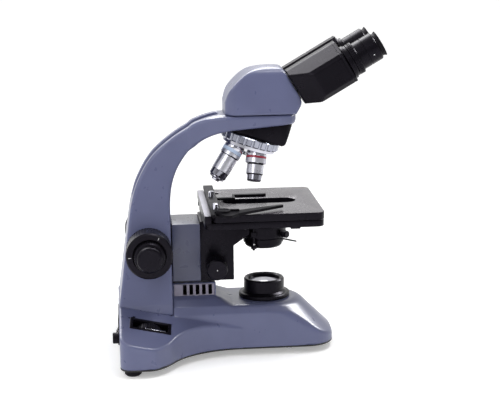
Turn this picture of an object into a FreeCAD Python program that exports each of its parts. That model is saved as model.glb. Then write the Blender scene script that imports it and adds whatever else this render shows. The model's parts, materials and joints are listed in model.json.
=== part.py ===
import FreeCAD, Part
import math
import os

import Sketcher
from FreeCAD import Placement, Rotation, Vector

# Binocular compound microscope, millimetres.
# +X points to the observer, +Z up, and the optical axis is the vertical line X = optical_x, Y = 0.
# The origin is on the table, under the middle of the instrument.

doc = FreeCAD.newDocument("microscope")
sheet = doc.addObject("Spreadsheet::Sheet", "dims")

DIMENSIONS = {
    "optical_x": 20.0,
    "foot_height": 8.0,
    "plate_thick": 1.5,
    "base_rear": -150.0,
    "base_front": 98.0,
    "base_half": 46.0,
    "wing_half": 110.0,
    "platform_z": 59.0,
    "platform_radius": 40.0,
    "shoulder_z": 68.0,
    "block_z": 83.0,
    "block_half": 24.0,
    "wing_edge_z": 34.0,
    "wing_slope_side": 0.377,
    "wing_slope_front": 0.22,
    "arm_seat_z": 50.0,
    "arm_top_z": 275.0,
    "arm_foot_half": 45.0,
    "arm_neck_half": 20.0,
    "head_plate_half": 30.0,
    "lamp_flange_radius": 29.5,
    "collector_radius": 23.5,
    "collector_bore": 18.3,
    "collector_top": 81.0,
    "focus_x": -114.0,
    "focus_z": 128.0,
    "coarse_radius": 26.2,
    "coarse_face": 72.0,
    "fine_radius": 17.5,
    "fine_face": 90.0,
    "carriage_rear": -87.2,
    "carriage_front": -55.0,
    "carriage_half": 27.0,
    "carriage_low": 86.0,
    "carriage_top": 153.0,
    "bracket_front": -17.0,
    "stage_z": 172.0,
    "stage_thick": 8.6,
    "stage_length": 127.0,
    "stage_width": 146.0,
    "stage_rear": -45.0,
    "table_thick": 7.6,
    "condenser_radius": 23.8,
    "condenser_low": 123.0,
    "condenser_knob_x": -38.0,
    "condenser_knob_z": 105.0,
    "condenser_knob_radius": 12.0,
    "apex_z": 287.0,
    "turret_tilt": 18.0,
    "turret_radius": 34.0,
    "turret_ring_top": 40.3,
    "turret_ring_low": 50.2,
    "shoulder_reach": 60.0,
    "thread_radius": 10.16,
    "head_half": 32.0,
    "head_low": 276.0,
    "tube_tilt": 30.0,
    "tube_offset": 31.0,
    "tube_drop": 14.0,
    "eyepiece_radius": 16.3,
    "tube_bore": 11.6,
    "running_gap": 0.05,
}

for row, (alias, amount) in enumerate(DIMENSIONS.items(), start=1):
    sheet.set(f"A{row}", alias)
    sheet.set(f"B{row}", str(amount))
    sheet.setAlias(f"B{row}", alias)
doc.recompute()

UP = (0, 0, 1)
LEFTWARD = (0, -1, 0)
RIGHTWARD = (0, 1, 0)
FORWARD = (1, 0, 0)
BACKWARD = (-1, 0, 0)


def dim(alias):
    return float(sheet.get(alias))


def bind(item, **sizes):
    """Tie an object's sizes to the sheet, or to a plain value of its own."""
    for prop, size in sizes.items():
        if isinstance(size, str):
            item.setExpression(prop, size)
        else:
            setattr(item, prop, size)
    return item


def aim(at, direction=UP):
    return Placement(Vector(*at), Rotation(Vector(*UP), Vector(*direction)))


def cylinder(name, radius, height, at, direction=UP):
    item = doc.addObject("Part::Cylinder", name)
    bind(item, Radius=radius, Height=height)
    item.Placement = aim(at, direction)
    return item


def cone(name, low, high, height, at, direction=UP):
    item = doc.addObject("Part::Cone", name)
    bind(item, Radius1=low, Radius2=high, Height=height)
    item.Placement = aim(at, direction)
    return item


def box(name, length, width, height, corner):
    """A box along the axes from its lowest corner."""
    item = doc.addObject("Part::Box", name)
    bind(item, Length=length, Width=width, Height=height)
    item.Placement = aim(corner)
    return item


def ring(name, outer, inner, height, at, direction=UP):
    rim = cylinder(name + "_rim", outer, height, at, direction)
    hole = cylinder(name + "_hole", inner, height, at, direction)
    return cut(name, rim, hole)


def cut(name, base, *tools):
    item = doc.addObject("Part::Cut", name)
    item.Base = base
    item.Tool = tools[0] if len(tools) == 1 else join(name + "_tools", *tools)
    return item


def join(name, *parts):
    item = doc.addObject("Part::MultiFuse", name)
    item.Shapes = list(parts)
    item.Refine = True
    return item


def overlap(name, *parts):
    item = doc.addObject("Part::MultiCommon", name)
    item.Shapes = list(parts)
    return item


def group(name, *parts):
    """Separate solids that share one node."""
    item = doc.addObject("Part::Compound", name)
    item.Links = list(parts)
    return item


def mirror(name, item):
    """The same piece on the other side of the plane Y = 0."""
    copy = doc.addObject("Part::Mirroring", name)
    copy.Source = item
    copy.Base = Vector(0, 0, 0)
    copy.Normal = Vector(0, 1, 0)
    return copy


def soften(name, item, radius, pick):
    """Round the edges that pick chooses by their two end points and middle."""
    doc.recompute()
    rounded = doc.addObject("Part::Fillet", name)
    rounded.Base = item
    chosen = []
    for number, edge in enumerate(item.Shape.Edges, start=1):
        if pick(edge):
            chosen.append((number, radius, radius))
    rounded.Edges = chosen
    return rounded


def origin_plane(body, role):
    for feature in body.Origin.OriginFeatures:
        if feature.Role == role:
            return feature
    raise ValueError(role)


def draw(sketch, outline):
    """Draw a closed outline: a point is a corner, and a list of points is a smooth curve through them."""
    runs = []
    for step in outline:
        if isinstance(step, list):
            runs.append([Vector(x, y, 0) for x, y in step])
        else:
            runs.append(Vector(step[0], step[1], 0))
    first = runs[0][0] if isinstance(runs[0], list) else runs[0]
    here = first
    for step in runs[1:] if not isinstance(runs[0], list) else runs:
        points = step if isinstance(step, list) else [step]
        if here.distanceToPoint(points[0]) > 1e-6:
            sketch.addGeometry(Part.LineSegment(here, points[0]), False)
        if len(points) == 3:
            sketch.addGeometry(Part.Arc(*points), False)
        elif len(points) > 3:
            curve = Part.BSplineCurve()
            curve.interpolate(points)
            sketch.addGeometry(curve, False)
        here = points[-1]
    if here.distanceToPoint(first) > 1e-6:
        sketch.addGeometry(Part.LineSegment(here, first), False)


def prism(name, plane, outline, length, at=(0, 0, 0), centred=False):
    """A PartDesign body padded from an outline on one of its own origin planes."""
    body = doc.addObject("PartDesign::Body", name)
    sketch = body.newObject("Sketcher::SketchObject", name + "_sketch")
    sketch.AttachmentSupport = (origin_plane(body, plane), "")
    sketch.MapMode = "FlatFace"
    draw(sketch, outline)
    pad = body.newObject("PartDesign::Pad", name + "_pad")
    pad.Profile = sketch
    pad.Midplane = centred
    bind(pad, Length=length)
    body.Placement = aim(at)
    return body


def turned(name, profile, at=(0, 0, 0), direction=UP):
    """A PartDesign body turned about its own Z axis from a radius and height outline."""
    body = doc.addObject("PartDesign::Body", name)
    sketch = body.newObject("Sketcher::SketchObject", name + "_sketch")
    sketch.AttachmentSupport = (origin_plane(body, "XZ_Plane"), "")
    sketch.MapMode = "FlatFace"
    draw(sketch, profile)
    spin = body.newObject("PartDesign::Revolution", name + "_turn")
    spin.Profile = sketch
    spin.ReferenceAxis = (sketch, ["V_Axis"])
    spin.Angle = 360.0
    body.Placement = aim(at, direction)
    return body


def rounded_outline(half_x, half_y, corner):
    """A rectangle about the origin with four round corners."""
    bend = corner * (1 - math.sqrt(0.5))
    outline = []
    for side_x, side_y in ((1, -1), (1, 1), (-1, 1), (-1, -1)):
        along = (side_x * (half_x - corner), side_y * half_y)
        middle = (side_x * (half_x - bend), side_y * (half_y - bend))
        across = (side_x * half_x, side_y * (half_y - corner))
        arc = [along, middle, across]
        outline.append(arc if side_x * side_y < 0 else arc[::-1])
    return outline


def cap(radius, low, rise):
    """The arc of a spherical cap, from its rim to its crown on the axis."""
    sphere = (radius * radius + rise * rise) / (2 * rise)
    half = math.asin(radius / sphere) / 2
    middle = (sphere * math.sin(half), low + rise - sphere * (1 - math.cos(half)))
    return [(radius, low), middle, (0, low + rise)]


def knurl(name, radius, height, grooves, depth, at, direction):
    """Axial grooves around a rim, as one compound of thin cylinders."""
    frame = aim(at, direction)
    cutters = []
    for number in range(grooves):
        angle = 2 * math.pi * number / grooves
        spot = frame.multVec(Vector(radius * math.cos(angle), radius * math.sin(angle), 0))
        cutters.append(Part.makeCylinder(depth, height, spot, Vector(*direction)))
    item = doc.addObject("Part::Feature", name)
    item.Shape = Part.makeCompound(cutters)
    return item


nodes = []


def keep(label, item):
    """Name a finished sub-part. Its label is its node."""
    item.Label = label
    nodes.append(item)
    return item


OPTICAL_X = dim("optical_x")
SMALL = 0.3
FLOOR = dim("foot_height") + dim("plate_thick")

# ---------------------------------------------------------------- base

REAR = dim("base_rear")
FRONT = dim("base_front")
HALF = dim("base_half")
WING = dim("wing_half")
NOSE_CORNER = 32.0
HEEL = 14.0


def plan_outline():
    """The base seen from above: two rear wings that sweep into a narrow front with a round nose."""
    nose = NOSE_CORNER * (1 - math.sqrt(0.5))
    heel = HEEL * (1 - math.sqrt(0.5))
    sweep = [(-12, -HALF), (-36, -49), (-60, -58), (-82, -75), (-96, -95), (-110, -108), (-122, -WING)]
    near = [
        [(FRONT, HALF - NOSE_CORNER), (FRONT, 0), (FRONT, NOSE_CORNER - HALF)],
        [(FRONT, NOSE_CORNER - HALF), (FRONT - nose, nose - HALF), (FRONT - NOSE_CORNER, -HALF)],
        sweep,
        [(REAR + HEEL, -WING), (REAR + heel, heel - WING), (REAR, HEEL - WING)],
    ]
    far = [[(x, -y) for x, y in run[::-1]] for run in near[:0:-1]]
    nose_line = [(FRONT, HALF - NOSE_CORNER), (FRONT, NOSE_CORNER - HALF)]
    return [nose_line[0], nose_line[1]] + near[1:] + far


def wing_roof(name, side):
    """A block whose underside is the sloping top of one wing."""
    slope_side = dim("wing_slope_side")
    slope_front = dim("wing_slope_front")
    normal = (slope_front, side * slope_side, 1.0)
    roof = doc.addObject("Part::Box", name)
    bind(roof, Length=800.0, Width=800.0, Height=200.0)
    spin = Rotation(Vector(*UP), Vector(*normal))
    corner = Vector(-122, side * WING, dim("wing_edge_z")) - spin.multVec(Vector(400, 400, 0))
    roof.Placement = Placement(corner, spin)
    return roof


plan = prism("plan", "XY_Plane", plan_outline(), 75.0, (0, 0, FLOOR))
ahead_of_wings = box("ahead_of_wings", 130.0, 240.0, 90.0, (-11, -120, 0))
wings = cut("wings", plan, wing_roof("near_roof", -1), wing_roof("far_roof", 1), ahead_of_wings)

side_profile = prism(
    "side_profile",
    "XZ_Plane",
    [
        (REAR, FLOOR),
        (FRONT, FLOOR),
        (FRONT, dim("platform_z")),
        (-20, dim("platform_z")),
        (-38, dim("shoulder_z")),
        (REAR, dim("shoulder_z")),
    ],
    "4 * dims.base_half",
    centred=True,
)
section = prism(
    "section",
    "YZ_Plane",
    [
        (-HALF, FLOOR),
        (HALF, FLOOR),
        (HALF - 1, 51),
        (dim("platform_radius"), dim("platform_z")),
        (dim("block_half") + 1.5, dim("shoulder_z")),
        (-dim("block_half") - 1.5, dim("shoulder_z")),
        (-dim("platform_radius"), dim("platform_z")),
        (1 - HALF, 51),
    ],
    600.0,
    centred=True,
)
nose_plan = prism("nose_plan", "XY_Plane", plan_outline(), 75.0, (0, 0, FLOOR))
nose_reach = dim("platform_radius") + dim("platform_z") - FLOOR
nose_cone = cone("nose_cone", nose_reach, "dims.platform_radius", "dims.platform_z - dims.foot_height - dims.plate_thick", (OPTICAL_X, 0, FLOOR))
behind_nose = box("behind_nose", 200.0, 200.0, 100.0, (OPTICAL_X - 200, -100, 0))
nose_shape = join("nose_shape", nose_cone, behind_nose)
front_body = overlap("front_body", side_profile, section, nose_plan, nose_shape)
block = box("block", 50.0, "2 * dims.block_half", "dims.block_z - 55", (-88, -dim("block_half"), 55))
outer_base = join("outer_base", front_body, wings, block)

arm_seat = box("arm_seat", 62.0, "2 * dims.arm_foot_half", 60.0, (-150, -dim("arm_foot_half"), dim("arm_seat_z")))
front_cavity = box("front_cavity", 120.0, 72.0, 42.0, (-82, -36, FLOOR))
block_cavity = box("block_cavity", 44.0, 42.0, 35.0, (-85, -21, 44))
grille_window = box("grille_window", 46.0, 60.0, 13.5, (-86, -30, 68.2))
heart_cavity = box("heart_cavity", 56.0, 90.0, 34.5, (-137, -45, FLOOR))
wing_cavity = box("wing_cavity", 33.0, 176.0, 22.0, (-137, -88, FLOOR))
lamp_well = cylinder("lamp_well", 18.0, 20.0, (OPTICAL_X, 0, 45))

slope_side = dim("wing_slope_side")
slope_front = dim("wing_slope_front")
roof_normal = Vector(slope_front, -slope_side, 1.0).normalize()
along_roof = Vector(1, 0, -slope_front).normalize()
down_roof = roof_normal.cross(along_roof).multiply(-1)
DIMMER_X = -115.0
DIMMER_Y = -70.0
dimmer_z = dim("wing_edge_z") + slope_side * (WING + DIMMER_Y) - slope_front * (DIMMER_X + 122)
dimmer_spot = Vector(DIMMER_X, DIMMER_Y, dimmer_z)
roof_turn = Rotation(along_roof, down_roof.negative(), roof_normal, "ZXY")


def on_roof(name, length, width, height, raise_by):
    """A box centred on the dimmer's place, lying in the wing's sloping top."""
    item = doc.addObject("Part::Box", name)
    bind(item, Length=length, Width=width, Height=height)
    corner = dimmer_spot - along_roof * (length / 2) + down_roof * (width / 2) + roof_normal * raise_by
    item.Placement = Placement(corner, roof_turn)
    return item


BEZEL_LENGTH = 47.0
BEZEL_WIDTH = 20.0
bezel_pocket = on_roof("bezel_pocket", BEZEL_LENGTH, BEZEL_WIDTH, 20.0, -3.0)
wheel_pocket = on_roof("wheel_pocket", 41.0, 14.0, 34.0, -33.5)
pot_room = cylinder(
    "pot_room", 7.4, 9.0, tuple(dimmer_spot - roof_normal * 15.5 + down_roof * 4.5), tuple(down_roof)
)

INLET_Y = 16.0
INLET_Z = 32.0
SWITCH_Y = -54.5
SWITCH_Z = 45.0
FUSE_Y = -78.0
FUSE_Z = 38.0
inlet_hole = box("inlet_hole", 16.0, 28.0, 20.0, (REAR - 1, INLET_Y - 14, INLET_Z - 10))
switch_hole = box("switch_hole", 12.8, 13.0, 19.0, (REAR - 1, SWITCH_Y - 6.5, SWITCH_Z - 9.5))
fuse_hole = cylinder("fuse_hole", 6.0, 16.0, (REAR - 1, FUSE_Y, FUSE_Z), FORWARD)

ARM_BOLTS = [(x, y) for x in (-126, -100) for y in (-30, 30)]
bolt_holes = [
    cylinder(f"bolt_hole_{i}", 3.0, 10.0, (x, y, dim("arm_seat_z") - 7))
    for i, (x, y) in enumerate(ARM_BOLTS)
]
PLATE_SCREWS = [(-143.5, -62), (-143.5, 62), (-94, -66), (-94, 66), (44, -41), (44, 41)]
screw_holes = [
    cylinder(f"screw_hole_{i}", 1.5, 9.0, (x, y, FLOOR)) for i, (x, y) in enumerate(PLATE_SCREWS)
]
base_casting = keep(
    "base_casting",
    cut(
        "base_casting",
        outer_base,
        arm_seat,
        front_cavity,
        block_cavity,
        grille_window,
        heart_cavity,
        wing_cavity,
        lamp_well,
        bezel_pocket,
        wheel_pocket,
        pot_room,
        inlet_hole,
        switch_hole,
        fuse_hole,
        *bolt_holes,
        *screw_holes,
    ),
)

plate_blank = prism("plate_blank", "XY_Plane", plan_outline(), "dims.plate_thick", (0, 0, dim("foot_height")))
plate_holes = [
    cylinder(f"plate_hole_{i}", 1.5, 4.0, (x, y, FLOOR - 3)) for i, (x, y) in enumerate(PLATE_SCREWS)
]
keep("bottom_plate", cut("bottom_plate", plate_blank, *plate_holes))

FEET = [(-136, -94), (-136, 94), (70, 0)]
feet = [
    turned(f"foot_{i}", [(0, 0), (7.5, 0), (9.5, 2), (9.5, dim("foot_height")), (0, dim("foot_height"))], (x, y, 0))
    for i, (x, y) in enumerate(FEET)
]
keep("rubber_feet", group("rubber_feet", *feet))


def screw(name, shank, length, head, head_height, at, direction):
    """A screw whose head lies under its seat, pointing along direction."""
    profile = [(0, -head_height), (head, -head_height), (head, 0), (shank, 0), (shank, length), (0, length)]
    return turned(name, profile, at, direction)


plate_screws = [
    screw(f"plate_screw_{i}", 1.5, 9.0, 3.0, 2.2, (x, y, dim("foot_height")), UP)
    for i, (x, y) in enumerate(PLATE_SCREWS)
]

GRILLE_PITCH = 7.3
grille_slots = [
    box(f"grille_slot_{i}", 4.3, 60.0, 12.0, (-76 + GRILLE_PITCH * i, -30, 69)) for i in range(5)
]
near_grille = cut(
    "near_grille", box("near_grille_plate", 46.0, 2.5, 13.5, (-86, -24.3, 68.2)), *grille_slots
)
keep("vent_grilles", group("vent_grilles", near_grille, mirror("far_grille", near_grille)))

# ---------------------------------------------------------------- lamp

platform = dim("platform_z")
flange_radius = dim("lamp_flange_radius")
collector = dim("collector_radius")
bore = dim("collector_bore")
COLLECTOR_LOW = 66.5
keep(
    "lamp_flange",
    turned(
        "lamp_flange",
        [
            (bore, platform),
            (flange_radius - 1, platform),
            (flange_radius, platform + 1),
            (flange_radius, platform + 4.5),
            (flange_radius - 1, platform + 5.3),
            (flange_radius - 3.5, platform + 5.6),
            (collector + 0.4, COLLECTOR_LOW),
            (bore, COLLECTOR_LOW),
        ],
        (OPTICAL_X, 0, 0),
    ),
)
keep(
    "collector_barrel",
    turned(
        "collector_barrel",
        [
            (bore, COLLECTOR_LOW),
            (collector, COLLECTOR_LOW),
            (collector, dim("collector_top") - 1.6),
            (collector - 1.2, dim("collector_top")),
            (collector - 3, dim("collector_top")),
            (bore, dim("collector_top") - 1.2),
        ],
        (OPTICAL_X, 0, 0),
    ),
)
LENS_LOW = 72.0
keep(
    "collector_lens",
    turned(
        "collector_lens",
        [(0, LENS_LOW), (bore, LENS_LOW), (bore, LENS_LOW + 4), cap(bore, LENS_LOW + 4, 3.2)],
        (OPTICAL_X, 0, 0),
    ),
)
keep("lamp_socket", cylinder("lamp_socket", 9.0, 14.0, (OPTICAL_X, 0, FLOOR)))
keep(
    "lamp_bulb",
    turned(
        "lamp_bulb",
        [(0, 23.5), (5, 23.5), (5, 37), cap(5, 37, 4.5)],
        (OPTICAL_X, 0, 0),
    ),
)
board = box("board", 56.0, 62.0, 1.6, (-74, -31, FLOOR + 3))
spacers = [
    cylinder(f"spacer_{i}", 2.5, 3.0, (x, y, FLOOR)) for i, (x, y) in enumerate([(-70, -27), (-70, 27), (-22, -27), (-22, 27)])
]
capacitors = [cylinder(f"capacitor_{i}", 5.0, 12.0, (-32, y, FLOOR + 4.6)) for i, y in enumerate((-18, -5))]
coil_block = box("coil_block", 22.0, 26.0, 18.0, (-68, -13, FLOOR + 4.6))
keep("power_board", join("power_board", board, *spacers, *capacitors, coil_block))

inlet_body = box("inlet_body", 18.7, 28.0, 20.0, (REAR - 1.2, INLET_Y - 14, INLET_Z - 10))
inlet_flange = box("inlet_flange", 1.2, 48.0, 22.5, (REAR - 1.2, INLET_Y - 24, INLET_Z - 11.25))
inlet_recess = box("inlet_recess", 14.8, 24.0, 16.0, (REAR - 1.3, INLET_Y - 12, INLET_Z - 8))
inlet_pins = [
    box(f"inlet_pin_{i}", 15.0, 2.0, 4.0, (REAR - 0.5, INLET_Y + y - 1, INLET_Z + z - 2))
    for i, (y, z) in enumerate(((-7, -1.5), (0, 2), (7, -1.5)))
]
inlet_cover = cut("inlet_cover", join("inlet_solid", inlet_body, inlet_flange), inlet_recess)
keep("power_inlet", join("power_inlet", inlet_cover, *inlet_pins))

fuse_cap = turned(
    "fuse_cap",
    [(0, -7.5), (5.6, -7.5), (6.2, -6.8), (6.2, -1.5), (8.2, -1.5), (8.2, 0), (6, 0), (6, 14.5), (0, 14.5)],
    (REAR, FUSE_Y, FUSE_Z),
    FORWARD,
)
fuse_grip = knurl("fuse_grip", 6.6, 5.0, 16, 0.7, (REAR - 7.5, FUSE_Y, FUSE_Z), FORWARD)
keep("fuse_holder", cut("fuse_holder", fuse_cap, fuse_grip))

switch_body = box("switch_body", 11.5, 13.0, 19.0, (REAR, SWITCH_Y - 6.5, SWITCH_Z - 9.5))
switch_flange = box("switch_flange", 1.2, 15.0, 21.0, (REAR - 1.2, SWITCH_Y - 7.5, SWITCH_Z - 10.5))
switch_well = box("switch_well", 11.0, 10.0, 16.0, (REAR - 2, SWITCH_Y - 5, SWITCH_Z - 8))
ROCKER_X = REAR + 1.0
rocker_seat = cylinder("rocker_seat", 1.25, 12.0, (ROCKER_X, SWITCH_Y + 6, SWITCH_Z), LEFTWARD)
keep("switch_frame", cut("switch_frame", join("switch_solid", switch_body, switch_flange), switch_well, rocker_seat))
rocker_key = prism(
    "rocker_key",
    "XZ_Plane",
    [
        [(-2.0, 6.6), (-1.7, 0), (-4.6, -6.4)],
        (1.2, -6.6),
        (3.0, 0),
        (1.2, 6.6),
    ],
    9.4,
    (ROCKER_X, SWITCH_Y, SWITCH_Z),
    centred=True,
)
rocker_pivot = cylinder("rocker_pivot", 1.2, 11.6, (ROCKER_X, SWITCH_Y + 5.8, SWITCH_Z), LEFTWARD)
keep("power_rocker", join("power_rocker", rocker_key, rocker_pivot))

bezel_blank = on_roof("bezel_blank", BEZEL_LENGTH, BEZEL_WIDTH, 3.4, -3.0)
bezel_window = on_roof("bezel_window", 40.0, 13.0, 6.0, -4.0)
keep("dimmer_bezel", cut("dimmer_bezel", bezel_blank, bezel_window))
WHEEL_RADIUS = 17.0
WHEEL_THICK = 8.0
wheel_centre = dimmer_spot - roof_normal * (WHEEL_RADIUS - 1.5)
wheel_foot = wheel_centre - down_roof * (WHEEL_THICK / 2)
wheel_blank = cylinder("wheel_blank", WHEEL_RADIUS, WHEEL_THICK, tuple(wheel_foot), tuple(down_roof))
wheel_bore = cylinder("wheel_bore", 3.0, WHEEL_THICK, tuple(wheel_foot), tuple(down_roof))
wheel_grip = knurl("wheel_grip", WHEEL_RADIUS + 0.2, WHEEL_THICK, 36, 0.8, tuple(wheel_foot), tuple(down_roof))
keep("dimmer_wheel", cut("dimmer_wheel", wheel_blank, wheel_bore, wheel_grip))
pot_start = wheel_centre + down_roof * (WHEEL_THICK / 2 + 1.4)
pot_case = cylinder("pot_case", 7.0, 6.0, tuple(pot_start), tuple(down_roof))
pot_spindle = cylinder(
    "pot_spindle", 2.95, WHEEL_THICK + 2.4, tuple(wheel_foot - down_roof * 1.0), tuple(down_roof)
)
keep("dimmer_pot", join("dimmer_pot", pot_case, pot_spindle))

# ---------------------------------------------------------------- arm

ARM_TOP = dim("arm_top_z")
SEAT = dim("arm_seat_z")
NECK = dim("arm_neck_half")
PLATE_HALF = dim("head_plate_half")
outer_curve = [
    (-136.5, 152),
    (-132, 178),
    (-124, 203),
    (-108, 230),
    (-85, 250.5),
    (-60, 265.5),
    (-38, 273),
    (-20, ARM_TOP),
]
inner_curve = [
    (-20, 258.4),
    (-39, 253.4),
    (-54.5, 245.6),
    (-71, 229),
    (-82.5, 208),
    (-87.6, 184),
    (-88.4, 150),
]
arm_profile = [
    (-149, SEAT),
    (-149, 64),
    outer_curve,
    (56, ARM_TOP),
    [(56, 269), (54.8, 266.0), (52, 264.4)],
    inner_curve,
    (-88.4, SEAT),
]
arm_side = prism("arm_side", "XZ_Plane", arm_profile, 120.0, centred=True)
arm_width = prism(
    "arm_width",
    "YZ_Plane",
    [
        (-45, SEAT),
        (45, SEAT),
        [(45, 64), (40, 95), (34.5, 128), (27, 175), (22, 215), (NECK, 245)],
        (NECK, 290),
        (-NECK, 290),
        [(-NECK, 245), (-22, 215), (-27, 175), (-34.5, 128), (-40, 95), (-45, 64)],
    ],
    600.0,
    centred=True,
)
arm_bow = overlap("arm_bow", arm_side, arm_width)
head_side = prism("head_side", "XZ_Plane", arm_profile, 121.0, centred=True)
head_plan = prism(
    "head_plan",
    "XY_Plane",
    [
        (-62, -NECK + 1),
        [(-62, -NECK + 1), (-50, -NECK - 1), (-38, -NECK - 6), (-22, -PLATE_HALF)],
        [(40, -PLATE_HALF), (51.3, -25.6), (56, -14)],
        [(56, 14), (51.3, 25.6), (40, PLATE_HALF)],
        [(-22, PLATE_HALF), (-38, NECK + 6), (-50, NECK + 1), (-62, NECK - 1)],
    ],
    60.0,
    (0, 0, 235),
)
head_end = overlap("head_end", head_side, head_plan)
arm_solid = join("arm_solid", arm_bow, head_end)

GROOVE_DEPTH = 9.0
groove_outer = [(-150, 215), (-120, 240), (-90, 268), (-60, 285), (-31, 290)]
groove = prism(
    "groove",
    "XZ_Plane",
    [
        groove_outer,
        (-31, ARM_TOP - GROOVE_DEPTH + 1),
        [(-31, 265.5), (-58, 257), (-81, 243), (-101, 224), (-116, 199.5), (-122, 183)],
        (-150, 183),
    ],
    20.0,
    centred=True,
)
FOCUS_X = dim("focus_x")
FOCUS_Z = dim("focus_z")
shaft_hole = cylinder("shaft_hole", 7.05, 120.0, (FOCUS_X, 60, FOCUS_Z), LEFTWARD)
pinion_pocket = box("pinion_pocket", 40.0, 14.0, 56.0, (FOCUS_X - 10, -7, FOCUS_Z - 24))
seat_hole = cylinder("seat_hole", 20.0, 60.0, (OPTICAL_X, 0, 235))
arm_bolt_holes = [
    cylinder(f"arm_bolt_hole_{i}", 3.0, 14.0, (x, y, SEAT - 1)) for i, (x, y) in enumerate(ARM_BOLTS)
]
turret_lean = math.radians(dim("turret_tilt"))
turret_down = (-math.sin(turret_lean), 0, -math.cos(turret_lean))
turret_room = cylinder(
    "turret_room", 35.2, 40.0, (OPTICAL_X + 36 * turret_down[0], 0, dim("apex_z") + 36 * turret_down[2]), turret_down
)
keep(
    "arm_casting",
    cut("arm_casting", arm_solid, groove, turret_room, shaft_hole, pinion_pocket, seat_hole, *arm_bolt_holes),
)
bolts = [
    screw(f"arm_bolt_{i}", 3.0, 19.0, 5.0, 5.0, (x, y, SEAT - 6), UP) for i, (x, y) in enumerate(ARM_BOLTS)
]
keep("base_fasteners", group("base_fasteners", *plate_screws, *bolts))

SEAT_RING = 25.0
keep(
    "head_seat_ring",
    turned(
        "head_seat_ring",
        [(17, ARM_TOP - 4), (20, ARM_TOP - 4), (20, ARM_TOP), (SEAT_RING - 2, ARM_TOP), (SEAT_RING, ARM_TOP + 5), (17, ARM_TOP + 5)],
        (OPTICAL_X, 0, 0),
    ),
)

# Two dovetail rails on the front of the arm, on which the carriage slides.
ARM_FACE = -88.4
RAIL_LOW = 89.0
RAIL_HIGH = 146.0
rail_outline = [(ARM_FACE, -8), (-77.8, -8), (-77.8, -16), (-80, -16), (-83.5, -13), (ARM_FACE, -13)]
near_rail = prism("near_rail", "XY_Plane", rail_outline, RAIL_HIGH - RAIL_LOW, (0, 0, RAIL_LOW))
keep("focus_guide", group("focus_guide", near_rail, mirror("far_rail", near_rail)))
bushings = [
    ring(f"bushing_{i}", 7.05, 5.05, 14.0, (FOCUS_X, y, FOCUS_Z), LEFTWARD) for i, y in enumerate((34.0, -20.0))
]
keep("shaft_bushings", group("shaft_bushings", *bushings))

# ---------------------------------------------------------------- nosepiece and turret

APEX = Vector(OPTICAL_X, 0, dim("apex_z"))
tilt = math.radians(dim("turret_tilt"))
turret_axis = Vector(-math.sin(tilt), 0, -math.cos(tilt))
turret_front = Vector(math.cos(tilt), 0, -math.sin(tilt))
turret_side = turret_axis.cross(turret_front)
RING_TOP = dim("turret_ring_top")
RING_LOW = dim("turret_ring_low")
RING_RADIUS = dim("turret_radius")
REACH = dim("shoulder_reach")


def along(axis, distance):
    return APEX + axis * distance


def objective_axis(degrees):
    """The axis of the socket that stands at this angle round the turret from the viewing position."""
    turn = math.radians(degrees)
    outward = turret_front * math.cos(turn) + turret_side * math.sin(turn)
    return turret_axis * math.cos(tilt) + outward * math.sin(tilt)


plane_top = along(turret_axis, RING_TOP - 0.6)


def housing_low(x):
    """Height of the housing's sloping underside, which lies square to the turret's axis."""
    return plane_top.z - (x - plane_top.x) * math.tan(tilt)


housing_side = prism(
    "housing_side",
    "XZ_Plane",
    [
        (-17, housing_low(-17)),
        (37, housing_low(37)),
        [(37, housing_low(37)), (41.5, housing_low(37) - 0.6), (45, housing_low(37) + 3)],
        (53.5, 264.3),
        (-19.5, 258.3),
    ],
    48.0,
    centred=True,
)
housing_plan = prism("housing_plan", "XY_Plane", rounded_outline(37.0, 24.0, 15.0), 60.0, (17, 0, 225))
light_path = cylinder("light_path", 14.0, 60.0, (OPTICAL_X, 0, 215))
PIVOT_RADIUS = 3.0
pivot_hole = cylinder("pivot_hole", PIVOT_RADIUS, 30.0, tuple(along(turret_axis, 32)), tuple(turret_axis))
light_half = box("light_half", 60.0, 60.0, 60.0, (OPTICAL_X - 6.5, -30, 215))
light_cut = overlap("light_cut", light_path, light_half)
keep(
    "nosepiece_housing",
    cut("nosepiece_housing", overlap("housing_solid", housing_side, housing_plan), light_cut, pivot_hole),
)
TURRET_BORE = PIVOT_RADIUS + dim("running_gap")
pivot_start = tuple(along(turret_axis, 34.3))
keep(
    "nosepiece_pivot",
    turned(
        "nosepiece_pivot",
        [(0, 0), (PIVOT_RADIUS, 0), (PIVOT_RADIUS, 27), (5.2, 27), (5.2, 29.5), (0, 29.5)],
        pivot_start,
        tuple(turret_axis),
    ),
)
dome = turned(
    "dome",
    [
        (TURRET_BORE, RING_TOP + 0.3),
        (24.0, RING_TOP + 0.3),
        (24.0, RING_LOW - 1.6),
        (30.0, RING_LOW - 0.5),
        (31.0, RING_LOW - 0.5),
        (31.0, 53.0),
        (8.5, 60.3),
        (TURRET_BORE, 60.4),
    ],
    tuple(APEX),
    tuple(turret_axis),
)


def socket(name, degrees):
    """The narrow light channel and the wide threaded mouth of one socket."""
    axis = objective_axis(degrees)
    channel = cone(name + "_channel", 7.2, 9.9, 14.1, tuple(along(axis, 38)), tuple(axis))
    mouth = cylinder(name + "_mouth", "dims.thread_radius", 11.0, tuple(along(axis, 52)), tuple(axis))
    return join(name, channel, mouth)


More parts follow.
